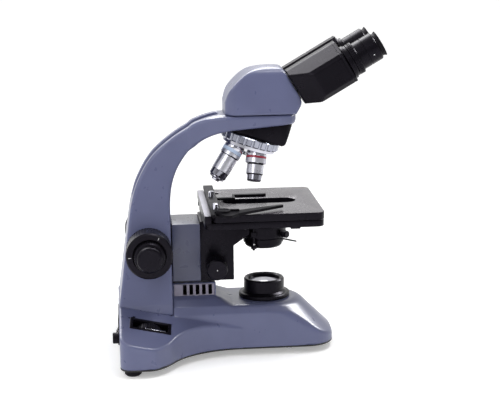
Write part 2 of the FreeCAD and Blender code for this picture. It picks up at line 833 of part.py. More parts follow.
sockets = [socket(f"socket_{i}", degrees) for i, degrees in enumerate((-32, 58, 148, -122))]
keep("turret", cut("turret", dome, *sockets))
grip_blank = turned(
    "grip_blank",
    [
        (24.0, RING_TOP),
        (RING_RADIUS - 0.8, RING_TOP),
        (RING_RADIUS, RING_TOP + 0.8),
        (RING_RADIUS, RING_LOW - 2.0),
        (RING_RADIUS - 1.2, RING_LOW - 0.6),
        (30.0, RING_LOW - 0.6),
        (24.0, RING_LOW - 1.6),
    ],
    tuple(APEX),
    tuple(turret_axis),
)
grip_flutes = knurl(
    "grip_flutes",
    RING_RADIUS + 0.9,
    RING_LOW - RING_TOP - 1.6,
    24,
    2.2,
    tuple(along(turret_axis, RING_TOP + 0.8)),
    tuple(turret_axis),
)
keep("turret_grip_ring", cut("turret_grip_ring", grip_blank, grip_flutes, *sockets))

THREAD = dim("thread_radius") - 0.06
LOW_AXIS = tuple(objective_axis(58))
HIGH_AXIS = tuple(objective_axis(148))
LOW_TIP = 91.5
HIGH_TIP = 104.2
keep(
    "low_power_objective",
    turned(
        "low_power_objective",
        [
            (7.0, REACH - 3),
            (THREAD, REACH - 3),
            (THREAD, REACH),
            (11.6, REACH),
            (11.9, REACH + 0.6),
            (11.9, REACH + 3.0),
            (11.5, REACH + 3.0),
            (11.5, REACH + 5.2),
            (11.9, REACH + 5.2),
            (11.9, REACH + 11.0),
            (9.3, REACH + 11.6),
            (9.3, REACH + 12.6),
            (9.8, REACH + 12.8),
            (9.8, REACH + 23.0),
            (9.0, REACH + 23.3),
            (9.0, REACH + 24.1),
            (8.6, REACH + 24.3),
            (8.3, LOW_TIP - 1.6),
            (7.0, LOW_TIP),
            (5.0, LOW_TIP),
            (5.0, LOW_TIP - 4),
            (7.0, LOW_TIP - 8),
        ],
        tuple(APEX),
        LOW_AXIS,
    ),
)
keep(
    "high_power_objective",
    turned(
        "high_power_objective",
        [
            (6.5, REACH - 3),
            (THREAD, REACH - 3),
            (THREAD, REACH),
            (11.6, REACH),
            (11.9, REACH + 0.6),
            (11.9, REACH + 3.6),
            (11.5, REACH + 3.6),
            (11.5, REACH + 7.6),
            (11.9, REACH + 7.6),
            (11.9, REACH + 11.8),
            (10.7, REACH + 12.4),
            (10.7, REACH + 32.0),
            (10.2, REACH + 32.4),
            (10.2, REACH + 38.6),
            (8.8, REACH + 39.8),
            (8.8, REACH + 41.0),
            (5.2, REACH + 42.2),
            (4.4, HIGH_TIP - 0.4),
            (3.6, HIGH_TIP),
            (1.6, HIGH_TIP),
            (1.6, HIGH_TIP - 3),
            (6.5, HIGH_TIP - 12),
        ],
        tuple(APEX),
        HIGH_AXIS,
    ),
)

# ---------------------------------------------------------------- focus drive

PITCH = 1.0  # pinion module
TEETH = 12
PINION_RADIUS = PITCH * TEETH / 2


def tooth_ring(teeth, pitch_radius):
    """Corner points of a small spur pinion with plain tapered teeth."""
    points = []
    step = 2 * math.pi / teeth
    for number in range(teeth):
        middle = step * number
        for radius, share in (
            (pitch_radius - 1.15, -0.29),
            (pitch_radius + 0.85, -0.09),
            (pitch_radius + 0.85, 0.09),
            (pitch_radius - 1.15, 0.29),
        ):
            angle = middle + share * step
            points.append((radius * math.cos(angle), radius * math.sin(angle)))
    return points


def pinion(name, width, at):
    """A pinion about a shaft along Y, with a tooth pointing along +X."""
    return prism(name, "XZ_Plane", tooth_ring(TEETH, PINION_RADIUS), width, at, centred=True)


def rack_points(pitch_x, low, high, back, centre_z):
    """A rack that faces -X and runs along Z, with a gap at centre_z."""
    pitch = math.pi * PITCH
    points = [(back, low), (back, high)]
    first = math.floor((low - centre_z) / pitch - 0.5) + 1
    last = math.ceil((high - centre_z) / pitch - 0.5) - 1
    for number in range(last, first - 1, -1):
        middle = centre_z + (number + 0.5) * pitch
        if middle + 0.5 * pitch > high or middle - 0.5 * pitch < low:
            continue
        points.append((pitch_x + 1.15, middle + 0.29 * pitch))
        points.append((pitch_x - 0.85, middle + 0.09 * pitch))
        points.append((pitch_x - 0.85, middle - 0.09 * pitch))
        points.append((pitch_x + 1.15, middle - 0.29 * pitch))
    top = points[2]
    bottom = points[-1]
    return [(back, low), (back, high), (top[0], high)] + points[2:] + [(bottom[0], low)]


SHAFT_OUT = dim("coarse_face") - 14.0
PINION_X = dim("focus_x")
coarse_rod = ring("coarse_rod", 5.0, 3.55, 2 * SHAFT_OUT, (PINION_X, SHAFT_OUT, FOCUS_Z), LEFTWARD)
gear = pinion("gear", 12.0, (PINION_X, 0, FOCUS_Z))
gear_bore = cylinder("gear_bore", 3.55, 30.0, (PINION_X, 15, FOCUS_Z), LEFTWARD)
keep("coarse_shaft", join("coarse_shaft", coarse_rod, cut("gear_ring", gear, gear_bore)))

knob_radius = dim("coarse_radius")
knob_face = dim("coarse_face")
ARM_SIDE = 37.2
KNOB_BACK = 40.5


def coarse_knob(name, side):
    knob = turned(
        name + "_blank",
        [
            (5.0, ARM_SIDE),
            (11.0, ARM_SIDE),
            (11.0, KNOB_BACK),
            (knob_radius - 2, KNOB_BACK),
            (knob_radius - 0.5, KNOB_BACK + 1.5),
            (knob_radius - 0.5, knob_face - 8),
            (knob_radius, knob_face - 6),
            (knob_radius, knob_face - 1.5),
            (knob_radius - 1.5, knob_face),
            (19.0, knob_face),
            (18.2, knob_face - 1.5),
            (18.2, knob_face - 8),
            (5.0, knob_face - 8),
        ],
        (FOCUS_X, 0, FOCUS_Z),
        (0, side, 0),
    )
    grooves = knurl(
        name + "_knurl", knob_radius + 0.3, 20.0, 48, 1.3, (FOCUS_X, side * (KNOB_BACK + 2), FOCUS_Z), (0, side, 0)
    )
    return cut(name, knob, grooves)


keep("coarse_knobs", group("coarse_knobs", coarse_knob("left_coarse", -1), coarse_knob("right_coarse", 1)))

fine_radius = dim("fine_radius")
fine_face = dim("fine_face")


def fine_knob(name, side):
    knob = turned(
        name + "_blank",
        [
            (0, knob_face - 6),
            (fine_radius, knob_face - 6),
            (fine_radius, knob_face + 7),
            (fine_radius - 1.5, knob_face + 8.5),
            (14.2, knob_face + 9),
            (14.2, fine_face - 3),
            [(14.2, fine_face - 3), (13.4, fine_face - 0.9), (11.5, fine_face)],
            (0, fine_face),
        ],
        (FOCUS_X, 0, FOCUS_Z),
        (0, side, 0),
    )
    grooves = knurl(
        name + "_knurl", fine_radius + 0.3, 9.0, 40, 1.1, (FOCUS_X, side * (knob_face - 1), FOCUS_Z), (0, side, 0)
    )
    return cut(name, knob, grooves)


fine_rod = cylinder("fine_rod", 3.5, 2 * (knob_face - 5), (FOCUS_X, knob_face - 5, FOCUS_Z), LEFTWARD)
keep("fine_focus", join("fine_focus", fine_rod, fine_knob("left_fine", -1), fine_knob("right_fine", 1)))

# ---------------------------------------------------------------- carriage

CARRIAGE_REAR = dim("carriage_rear")
CARRIAGE_FRONT = dim("carriage_front")
CARRIAGE_HALF = dim("carriage_half")
CARRIAGE_LOW = dim("carriage_low")
CARRIAGE_TOP = dim("carriage_top")
carriage_block = box(
    "carriage_block",
    "dims.carriage_front - dims.carriage_rear",
    "2 * dims.carriage_half",
    "dims.carriage_top - dims.carriage_low",
    (CARRIAGE_REAR, -CARRIAGE_HALF, CARRIAGE_LOW),
)
channel = prism(
    "channel",
    "XY_Plane",
    [(-88, -13.35), (-83.6, -13.35), (-80.1, -16.3), (-77.5, -16.3), (-77.5, 16.3), (-80.1, 16.3), (-83.6, 13.35), (-88, 13.35)],
    79.5,
    (0, 0, 70),
)
keep("focus_carriage", cut("focus_carriage", carriage_block, channel))
rack_face = PINION_X + PINION_RADIUS
rack_bar = prism(
    "rack_bar", "XZ_Plane", rack_points(rack_face, FOCUS_Z - 19, FOCUS_Z + 14, rack_face + 5, FOCUS_Z), 7.0, centred=True
)
rack_web = box("rack_web", -77.5 - rack_face - 4, 7.0, 26.0, (rack_face + 4, -3.5, FOCUS_Z - 13))
keep("focus_rack", join("focus_rack", rack_bar, rack_web))

STAGE_Z = dim("stage_z")
STAGE_THICK = dim("stage_thick")
TABLE_TOP = STAGE_Z - STAGE_THICK - SMALL
TABLE_LOW = TABLE_TOP - dim("table_thick")
BRACKET_FRONT = dim("bracket_front")
BRACKET_LOW = dim("carriage_low")
bracket_block = box(
    "bracket_block",
    "dims.bracket_front - dims.carriage_front",
    "2 * dims.carriage_half",
    TABLE_LOW - BRACKET_LOW,
    (CARRIAGE_FRONT, -CARRIAGE_HALF, BRACKET_LOW),
)
rib = prism(
    "rib",
    "XZ_Plane",
    [(BRACKET_FRONT - 1, 125.5), (1, 138.5), (1, TABLE_LOW), (BRACKET_FRONT - 1, TABLE_LOW)],
    5.0,
    (0, -CARRIAGE_HALF + 5, 0),
)
KNOB_X = dim("condenser_knob_x")
KNOB_Z = dim("condenser_knob_z")
condenser_hole = cylinder("condenser_hole", 4.05, 80.0, (KNOB_X, 40, KNOB_Z), LEFTWARD)
condenser_slot = box("condenser_slot", 60.0, 8.0, 54.0, (KNOB_X - 9, -4, BRACKET_LOW - 1))
keep(
    "stage_bracket",
    cut("stage_bracket", join("bracket_solid", bracket_block, rib, mirror("far_rib", rib)), condenser_hole, condenser_slot),
)

STAGE_REAR = dim("stage_rear")
STAGE_LENGTH = dim("stage_length")
STAGE_WIDTH = dim("stage_width")
STAGE_MIDDLE = STAGE_REAR + STAGE_LENGTH / 2
TABLE_LENGTH = 133.5
TABLE_HALF = 72.5
TABLE_MIDDLE = 14.75
DRIVE_X = -34.0
DRIVE_Y = 48.0
table_blank = prism(
    "table_blank",
    "XY_Plane",
    rounded_outline(TABLE_LENGTH / 2, TABLE_HALF, 8.5),
    "dims.table_thick",
    (TABLE_MIDDLE, 0, TABLE_LOW),
)
table_hole = cylinder("table_hole", 26.0, 30.0, (OPTICAL_X, 0, TABLE_LOW - 5))
drive_notch = box("drive_notch", 60.0, 18.0, 30.0, (DRIVE_X - 27, DRIVE_Y - 9, TABLE_LOW - 5))
stop_block = box("stop_block", 11.0, 10.0, 3.0, (44, -67, TABLE_LOW - 3))
keep("stage_table", join("stage_table", cut("table_plate", table_blank, table_hole, drive_notch), stop_block))

# ---------------------------------------------------------------- stage plate and slide carrier

plate_blank = prism(
    "stage_blank",
    "XY_Plane",
    rounded_outline(STAGE_LENGTH / 2, STAGE_WIDTH / 2, 9.0),
    "dims.stage_thick",
    (STAGE_MIDDLE, 0, STAGE_Z - STAGE_THICK),
)
SLOT_X = OPTICAL_X - 4.5
light_slot = prism("light_slot", "XY_Plane", rounded_outline(42.0, 13.5, 13.4), 30.0, (SLOT_X, 0, STAGE_Z - 20))
shaft_way = cylinder("shaft_way", 6.0, 30.0, (DRIVE_X, DRIVE_Y, STAGE_Z - 20))
stage_solid = cut("stage_solid", plate_blank, light_slot, shaft_way)
keep(
    "stage_plate",
    soften("stage_plate", stage_solid, 0.8, lambda edge: edge.BoundBox.ZMin > STAGE_Z - 0.1 and edge.BoundBox.XMax > OPTICAL_X + 45),
)
RAIL_LENGTH = 145.0
RAIL_WIDTH = 7.25
RAIL_THICK = 8.9
keep(
    "stage_scale_rail",
    box("stage_scale_rail", RAIL_WIDTH, RAIL_LENGTH, RAIL_THICK, (STAGE_REAR - RAIL_WIDTH, -76, STAGE_Z + 0.3 - RAIL_THICK)),
)

GLIDE = STAGE_Z + SMALL
carrier_bar = box("carrier_bar", 11.2, 166.0, 3.6, (-44.4, -86, GLIDE))
far_finger = prism(
    "far_finger",
    "XY_Plane",
    [(-34, 7), (-11.5, 7), (-11.5, 22.5), (21, 22.5), (26, 24.5), (26, 28), (-13.5, 28), (-13.5, 12), (-34, 12)],
    2.6,
    (0, 0, GLIDE),
)
FINGER_X = -32.0
FINGER_Y = -79.0
finger_tab = box("finger_tab", 20.0, 17.0, 1.8, (-40, FINGER_Y - 8, GLIDE))
finger_pin = cylinder("finger_pin", 2.0, 7.0, (FINGER_X, FINGER_Y, GLIDE))
finger_rebate = box("finger_rebate", 9.0, 17.0, 3.0, (-41, -87, GLIDE + 1.8))
carrier_solid = cut("carrier_solid", join("carrier_blank", carrier_bar, far_finger, finger_tab), finger_rebate)
keep("slide_carrier", join("slide_carrier", carrier_solid, finger_pin))
carrier_screws = [
    turned(
        f"carrier_screw_{i}",
        [(0, 0), (3.1, 0), (3.1, 6.6), (2.5, 7.2), (0, 7.2)],
        (-39.2, y, GLIDE + 3.6),
    )
    for i, y in enumerate((9.0, -58.5))
]
keep("carrier_screws", group("carrier_screws", *carrier_screws))
FINGER_LOW = GLIDE + 1.8 + SMALL
blade = prism(
    "blade",
    "XY_Plane",
    [
        (FINGER_X - 7, FINGER_Y + 3),
        (FINGER_X - 5, FINGER_Y - 6),
        (-31, -99),
        (-24, -99),
        (-16, -88),
        (37.5, -52.5),
        (36.5, -48.5),
        (-16, -71),
    ],
    3.0,
    (0, 0, FINGER_LOW),
)
finger_hub = turned(
    "finger_hub",
    [(0, 0), (8, 0), (8, 5), (7.4, 5.6), (6.4, 5.6), (5.6, 5), (0, 5)],
    (FINGER_X, FINGER_Y, FINGER_LOW),
)
finger_lever = box("finger_lever", 18.0, 3.4, 2.6, (FINGER_X, FINGER_Y + 2.3, FINGER_LOW + 2.4))
finger_bore = cylinder("finger_bore", 2.05, 12.0, (FINGER_X, FINGER_Y, FINGER_LOW - 2))
keep("spring_finger", cut("spring_finger", join("finger_solid", blade, finger_hub, finger_lever), finger_bore))

SHAFT_TOP = STAGE_Z - 3.0
X_KNOB_LOW = 110.0
Y_KNOB_LOW = 129.5
Y_KNOB_TOP = 147.0


def drive_knob(name, radius, inner, outer, low, top, shaft_top):
    """A knurled knob on its own vertical shaft, for the coaxial stage drive."""
    knob = turned(
        name + "_blank",
        [(inner, low), (radius - 1, low), (radius, low + 1), (radius, top - 1), (radius - 1, top), (outer, top), (outer, shaft_top), (inner, shaft_top)],
        (DRIVE_X, DRIVE_Y, 0),
    )
    return cut(name, knob, knurl(name + "_knurl", radius + 0.3, top - low - 4, 36, 1.0, (DRIVE_X, DRIVE_Y, low + 2), UP))


keep("stage_y_knob", drive_knob("stage_y_knob", 13.0, 3.05, 5.95, Y_KNOB_LOW, Y_KNOB_TOP, SHAFT_TOP))
keep("stage_x_knob", drive_knob("stage_x_knob", 10.0, 0.0, 3.0, X_KNOB_LOW, Y_KNOB_LOW - 0.5, SHAFT_TOP))

# ---------------------------------------------------------------- condenser

CONDENSER = dim("condenser_radius")
CONDENSER_LOW = dim("condenser_low")
CONDENSER_TOP = 158.0
keep(
    "condenser_body",
    turned(
        "condenser_body",
        [
            (9.0, CONDENSER_LOW + 7),
            (CONDENSER - 1, CONDENSER_LOW + 7),
            (CONDENSER, CONDENSER_LOW + 8),
            (CONDENSER, CONDENSER_TOP - 16),
            (19.0, CONDENSER_TOP - 14),
            (16.0, CONDENSER_TOP),
            (10.0, CONDENSER_TOP),
            (10.0, CONDENSER_TOP - 8),
            (9.0, CONDENSER_TOP - 9),
        ],
        (OPTICAL_X, 0, 0),
    ),
)
keep(
    "condenser_lens",
    turned(
        "condenser_lens",
        [(0, CONDENSER_TOP - 8), (10.0, CONDENSER_TOP - 8), (10.0, CONDENSER_TOP - 1.5), cap(10.0, CONDENSER_TOP - 1.5, 1.2)],
        (OPTICAL_X, 0, 0),
    ),
)
IRIS_LOW = CONDENSER_LOW + 1.5
IRIS_TOP = CONDENSER_LOW + 6.7
iris_body = ring("iris_body", CONDENSER - 0.6, 14.0, IRIS_TOP - IRIS_LOW, (OPTICAL_X, 0, IRIS_LOW))
LEVER_TURN = math.radians(-24)
lever_way = (math.cos(LEVER_TURN), math.sin(LEVER_TURN), -0.12)
lever = cylinder("lever", 0.9, 24.0, (OPTICAL_X + 8 * lever_way[0] + 8, 8 * lever_way[1], IRIS_LOW + 3.6), lever_way)
lever_keep = cylinder("lever_keep", 20.0, 40.0, (OPTICAL_X, 0, IRIS_LOW - 20))
keep("iris_ring", join("iris_ring", iris_body, cut("lever_rod", lever, lever_keep)))

filter_ring = turned(
    "filter_ring",
    [(15.5, CONDENSER_LOW - 3.2), (20.0, CONDENSER_LOW - 3.2), (21.5, CONDENSER_LOW - 1.5), (21.5, IRIS_LOW - SMALL), (17.0, IRIS_LOW - SMALL), (17.0, CONDENSER_LOW - 1.8), (15.5, CONDENSER_LOW - 1.8)],
    (OPTICAL_X, 0, 0),
)
SWING_TURN = math.radians(-120)
SWING_X = OPTICAL_X + (CONDENSER + 3.4) * math.cos(SWING_TURN)
SWING_Y = (CONDENSER + 3.4) * math.sin(SWING_TURN)
swing_ear = cylinder("swing_ear", 3.2, 3.0, (SWING_X, SWING_Y, CONDENSER_LOW - 2.0))
swing_arm = box("swing_arm", 5.0, 8.0, 3.0, (SWING_X - 1.5, SWING_Y, CONDENSER_LOW - 2.0))
swing_bore = cylinder("swing_bore", 1.55, 12.0, (SWING_X, SWING_Y, CONDENSER_LOW - 6))
swing_well = cylinder("swing_well", 16.9, 12.0, (OPTICAL_X, 0, CONDENSER_LOW - 6))
keep(
    "filter_holder",
    cut("filter_holder", join("filter_solid", filter_ring, cut("swing_link", join("swing_both", swing_ear, swing_arm), swing_well)), swing_bore),
)
swing_pin = cylinder("swing_pin", 1.5, 26.0, (SWING_X, SWING_Y, CONDENSER_LOW - 4.0))
swing_lug = box("swing_lug", 6.0, 7.0, 5.0, (SWING_X - 3, SWING_Y - 2.5, CONDENSER_LOW + 12))
CARRIER_LOW = CONDENSER_LOW + 10
CARRIER_HIGH = CONDENSER_LOW + 21
carrier_ring = ring("carrier_ring", CONDENSER + 2.6, CONDENSER, CARRIER_HIGH - CARRIER_LOW, (OPTICAL_X, 0, CARRIER_LOW))
SLIDER_REAR = BRACKET_FRONT + SMALL
SLIDER_FRONT = SLIDER_REAR + 16.5
slider = prism(
    "slider",
    "XZ_Plane",
    [(SLIDER_REAR, 125), (SLIDER_FRONT, 136), (SLIDER_FRONT, 150), (SLIDER_REAR, 150)],
    22.0,
    centred=True,
)
slider_core = cylinder("slider_core", CONDENSER + 0.2, 60.0, (OPTICAL_X, 0, CONDENSER_LOW - 10))
condenser_face = KNOB_X + PINION_RADIUS
condenser_bar = prism(
    "condenser_bar",
    "XZ_Plane",
    rack_points(condenser_face, KNOB_Z - 3, KNOB_Z + 29, condenser_face + 5, KNOB_Z),
    6.4,
    centred=True,
)
condenser_web = box("condenser_web", SLIDER_REAR - condenser_face - 4, 6.4, 14.0, (condenser_face + 4, -3.2, KNOB_Z + 14))
slider_block = cut("slider_block", join("slider_lug", slider, swing_lug), slider_core)
keep(
    "condenser_carrier",
    join("condenser_carrier", carrier_ring, slider_block, swing_pin, condenser_bar, condenser_web),
)
THUMB_TURN = math.radians(-45)
thumb_way = (math.cos(THUMB_TURN), math.sin(THUMB_TURN), 0)
thumb_at = (
    OPTICAL_X + (CONDENSER + 2.6) * thumb_way[0],
    (CONDENSER + 2.6) * thumb_way[1],
    CONDENSER_LOW + 13.5,
)
thumb_screw = turned(
    "thumb_screw",
    [(0, 0), (1.5, 0), (1.5, 2.5), (4.2, 2.5), (4.2, 8.5), (3.6, 9.2), (0, 9.2)],
    thumb_at,
    thumb_way,
)
thumb_grip = knurl(
    "thumb_grip", 4.3, 6.0, 18, 0.45, tuple(Vector(*thumb_at) + Vector(*thumb_way) * 2.6), thumb_way
)
keep("condenser_clamp_screw", cut("condenser_clamp_screw", thumb_screw, thumb_grip))

KNOB = dim("condenser_knob_radius")


def condenser_knob(name, side):
    knob = turned(
        name + "_blank",
        [
            (0, CARRIAGE_HALF + 0.6),
            (9.5, CARRIAGE_HALF + 0.6),
            (10.5, CARRIAGE_HALF + 6),
            (KNOB, CARRIAGE_HALF + 8),
            (KNOB, CARRIAGE_HALF + 27),
            (KNOB - 1.4, CARRIAGE_HALF + 29),
            (0, CARRIAGE_HALF + 29),
        ],
        (KNOB_X, 0, KNOB_Z),
        (0, side, 0),
    )
    grooves = knurl(
        name + "_knurl", KNOB + 0.3, 15.0, 36, 0.9, (KNOB_X, side * (CARRIAGE_HALF + 10), KNOB_Z), (0, side, 0)
    )
    return cut(name, knob, grooves)


knob_rod = cylinder("knob_rod", 4.0, 2 * CARRIAGE_HALF + 4, (KNOB_X, CARRIAGE_HALF + 2, KNOB_Z), LEFTWARD)
knob_gear = pinion("knob_gear", 7.0, (KNOB_X, 0, KNOB_Z))
keep("condenser_knob", join("condenser_knob", knob_rod, knob_gear, condenser_knob("near_knob", -1)))

# ---------------------------------------------------------------- head

HEAD_LOW = dim("head_low")
TUBE_TILT = math.radians(dim("tube_tilt"))
HINGE = Vector(50, 0, 311.9)
tube_way = Vector(math.cos(TUBE_TILT), 0, math.sin(TUBE_TILT))
tube_up = Vector(-math.sin(TUBE_TILT), 0, math.cos(TUBE_TILT))


def on_tube(run, rise):
    """A point of the plane Y = 0, measured along and square to the hinge axis."""
    spot = HINGE + tube_way * run + tube_up * rise
    return (spot.x, spot.z)


head_side_outline = [
    (-24, HEAD_LOW),
    (-24, 290),
    [(-24, 290), (-18.7, 303), (-5, 318), (8.6, 326), (26, 329.6), (36, 329.0)],
    [(36, 329.0), (41.5, 327.4), on_tube(0.6, 13.5)],
    on_tube(0.6, -21),
    [on_tube(0.6, -21), (62.6, 288.8), (61.6, 284.5)],
    (56, HEAD_LOW),
]
head_side_prism = prism("head_side_prism", "XZ_Plane", head_side_outline, "2 * dims.head_half", centred=True)
head_plan_prism = prism(
    "head_plan_prism",
    "XY_Plane",
    rounded_outline(47.5, dim("head_half"), 20.0),
    70.0,
    (21.5, 0, HEAD_LOW - 5),
)
crown = prism(
    "crown",
    "YZ_Plane",
    [
        (-32, 270),
        (32, 270),
        (32, 276),
        (29.8, 296),
        [(29.8, 296), (27.7, 314), (25.4, 322.5), (20.5, 326.8), (11, 329.1), (0, 330)],
        [(0, 330), (-11, 329.1), (-20.5, 326.8), (-25.4, 322.5), (-27.7, 314), (-29.8, 296)],
        (-32, 276),
    ],
    400.0,
    centred=True,
)
ring_room = cone("ring_room", SEAT_RING - 1.4, SEAT_RING + 0.6, 5.0, (OPTICAL_X, 0, ARM_TOP + 0.6))
head_room = cylinder("head_room", 19.0, 24.0, (OPTICAL_X, 0, HEAD_LOW - 2))
SHAFT_FROM = HINGE + tube_way * (-14)
shaft_bore = cylinder("shaft_bore", 6.0, 20.0, tuple(SHAFT_FROM), tuple(tube_way))
keep(
    "head_housing",
    cut("head_housing", overlap("head_solid", head_side_prism, head_plan_prism, crown), ring_room, head_room, shaft_bore),
)
keep("hinge_shaft", cylinder("hinge_shaft", 6.0, 52.0, tuple(SHAFT_FROM), tuple(tube_way)))

tube_frame = Placement(HINGE, Rotation(Vector(0, 1, 0), -dim("tube_tilt")))
BOX_START = 1.6
BOX_END = 65.5
FAR_END = 71.5
KNUCKLE = 10.0
KNUCKLE_SPLIT = 19.5
KNUCKLE_END = 37.5


def tilted(item):
    item.Placement = tube_frame.multiply(item.Placement)
    return item


def prism_box(name, side, from_run, to_run, end):
    """One half of the binocular body, with its own knuckle on the hinge shaft."""
    outline = [
        (-1.5, 1),
        (-8, 13),
        (-21, 13),
        (-43.5, 1),
        (-46, -3),
        (-46, -30),
        (-40, -36),
        (-10, -36),
        (-1.5, -3),
    ]
    across = prism(name + "_across", "YZ_Plane", [(-side * y, rise) for y, rise in outline], end - BOX_START, (BOX_START, 0, 0))
    lengthwise = prism(
        name + "_lengthwise",
        "XZ_Plane",
        [(BOX_START, -29), (20, -36.1), (end, -36.1), (end, 13.1), (BOX_START, 13.1)],
        120.0,
        centred=True,
    )
    chamfer = prism(
        name + "_chamfer",
        "XY_Plane",
        [(BOX_START, -2 * side), (BOX_START, 31 * side), (23.5, 46 * side), (end, 46 * side), (end, -2 * side)],
        60.0,
        (0, 0, -40),
    )
    shell = overlap(name + "_shell", across, lengthwise, chamfer)
    knuckle = cylinder(name + "_knuckle", KNUCKLE, to_run - from_run, (from_run, 0, 0), FORWARD)
    other_from = KNUCKLE_SPLIT + 0.3 if from_run < KNUCKLE_SPLIT else BOX_START - 1
    other_to = KNUCKLE_END + 0.4 if from_run < KNUCKLE_SPLIT else KNUCKLE_SPLIT
    room = cylinder(name + "_room", KNUCKLE + 0.4, other_to - other_from, (other_from, 0, 0), FORWARD)
    bore_hole = cylinder(name + "_bore", 6.05, 60.0, (-5, 0, 0), FORWARD)
    spare = cylinder(name + "_spare", 6.4, 3.0, (KNUCKLE_END - 0.5, 0, 0), FORWARD)
    side_bore = cylinder(
        name + "_light", "dims.tube_bore", 30.0, (BOX_END - 20, side * dim("tube_offset"), -dim("tube_drop")), FORWARD
    )
    body = cut(name, join(name + "_solid", cut(name + "_cleared", shell, room), knuckle), bore_hole, spare, side_bore)
    return tilted(body)


keep("left_prism_box", prism_box("left_prism_box", -1, BOX_START, KNUCKLE_SPLIT, BOX_END))
keep("right_prism_box", prism_box("right_prism_box", 1, KNUCKLE_SPLIT + 0.3, KNUCKLE_END, FAR_END))

EYE = dim("eyepiece_radius")
TUBE_BORE = dim("tube_bore")
TUBE_END = 79.0


def eye_frame(side):
    return HINGE + tube_up * -dim("tube_drop") + Vector(0, side * dim("tube_offset"), 0)


def eye_tube(name, side, collar, collar_end):
    return turned(
        name,
        [
            (TUBE_BORE, collar),
            (20.0, collar),
            (20.0, collar + 2.8),
            (18.6, collar + 3.2),
            (18.6, collar_end),
            (15.0, collar_end),
            (15.0, TUBE_END),
            (TUBE_BORE, TUBE_END),
        ],
        tuple(eye_frame(side)),
        tuple(tube_way),
    )


def eyepiece(name, side):
    """Eyepiece with its spigot in the tube, an eye lens seat and a barrel."""
    return turned(
        name,
        [
            (8.0, TUBE_END - 12),
            (TUBE_BORE - 0.02, TUBE_END - 12),
            (TUBE_BORE - 0.02, TUBE_END),
            (EYE, TUBE_END),
            (EYE, 88.0),
            (EYE - 0.5, 88.3),
            (EYE - 0.5, 88.9),
            (EYE, 89.2),
            (EYE, 102.0),
            (EYE - 1.0, 103.0),
            (11.0, 103.0),
            (11.0, 100.0),
            (8.0, 98.0),
        ],
        tuple(eye_frame(side)),
        tuple(tube_way),
    )


def eyecup(name, side):
    """Soft rubber cup with a thin flared lip."""
    return turned(
        name,
        [
            (11.0, 103.0),
            (13.6, 103.0),
            (13.8, 105.5),
            (15.0, 107.6),
            (14.2, 108.2),
            (12.2, 107.2),
            (11.0, 105.2),
        ],
        tuple(eye_frame(side)),
        tuple(tube_way),
    )


keep("right_eyepiece_tube", eye_tube("right_eyepiece_tube", 1, FAR_END, 77.5))
keep("left_eyepiece_tube", eye_tube("left_eyepiece_tube", -1, BOX_END, 71.0))
diopter_blank = turned(
    "diopter_blank",
    [(15.05, 71.3), (18.2, 71.3), (18.8, 71.9), (18.8, 77.9), (18.2, 78.5), (15.05, 78.5)],
    tuple(eye_frame(-1)),
    tuple(tube_way),
)
diopter_grip = knurl("diopter_grip", 19.1, 4.0, 40, 0.9, tuple(eye_frame(-1) + tube_way * 72.9), tuple(tube_way))
keep("diopter_ring", cut("diopter_ring", diopter_blank, diopter_grip))
for hand, side in (("left", -1), ("right", 1)):
    keep(f"{hand}_eyepiece", eyepiece(f"{hand}_eyepiece", side))
    keep(f"{hand}_eyecup", eyecup(f"{hand}_eyecup", side))

# ---------------------------------------------------------------- checks and export

doc.recompute()
troubles = []
for item in doc.Objects:
    if "Invalid" in item.State or "Error" in item.State:
        troubles.append(f"{item.Name}: {item.State}")
for item in nodes:
    if item.Shape.isNull() or not item.Shape.isValid() or not item.Shape.Solids:
        troubles.append(f"{item.Label}: bad shape")
if troubles:
    raise RuntimeError("; ".join(troubles))

os.makedirs("parts", exist_ok=True)
for item in nodes:
    item.Shape.exportStep(os.path.join("parts", item.Label + ".step"))
    print(item.Label, len(item.Shape.Solids), round(item.Shape.Volume))
print(len(nodes), "nodes")
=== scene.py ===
import json
import math

import bmesh
import bpy
import numpy as np
from mathutils import Matrix, Vector


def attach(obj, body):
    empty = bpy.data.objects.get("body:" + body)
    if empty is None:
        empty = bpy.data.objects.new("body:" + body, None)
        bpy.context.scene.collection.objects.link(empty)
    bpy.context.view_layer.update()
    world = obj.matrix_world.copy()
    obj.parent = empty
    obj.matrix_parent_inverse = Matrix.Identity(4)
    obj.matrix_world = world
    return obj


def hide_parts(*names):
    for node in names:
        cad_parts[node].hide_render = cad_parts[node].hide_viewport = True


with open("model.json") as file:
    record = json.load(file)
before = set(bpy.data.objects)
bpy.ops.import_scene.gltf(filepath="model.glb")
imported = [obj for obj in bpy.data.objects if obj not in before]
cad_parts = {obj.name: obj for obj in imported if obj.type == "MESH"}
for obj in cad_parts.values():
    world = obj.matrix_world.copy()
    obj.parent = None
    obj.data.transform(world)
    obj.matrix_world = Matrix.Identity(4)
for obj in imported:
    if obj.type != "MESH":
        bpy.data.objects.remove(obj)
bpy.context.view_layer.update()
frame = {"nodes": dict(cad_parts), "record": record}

MM = 0.001
NODES = frame["nodes"]

# ------------------------------------------------------------------ distance fields, in millimetres


def rmax(a, b, r):
    """Intersection of two fields with a convex edge of radius r."""
    return np.minimum(np.maximum(a, b), -r) + np.hypot(np.maximum(a + r, 0.0), np.maximum(b + r, 0.0))


def rmin(a, b, r):
    """Union of two fields with a concave fillet of radius r."""
    return -rmax(-a, -b, r)


def curve(points, steps=7):
    """Points of a Catmull-Rom curve through the given points."""
    pts = [np.array(p, float) for p in points]
    pts = [2 * pts[0] - pts[1]] + pts + [2 * pts[-1] - pts[-2]]
    out = []
    for a, b, c, d in zip(pts, pts[1:], pts[2:], pts[3:]):
        for s in range(steps):
            t = s / steps
            square = (2 * a - 5 * b + 4 * c - d) * t * t
            cube = (3 * b - a - 3 * c + d) * t ** 3
            out.append(tuple(0.5 * (2 * b + (c - a) * t + square + cube)))
    out.append(tuple(pts[-2]))
    return out


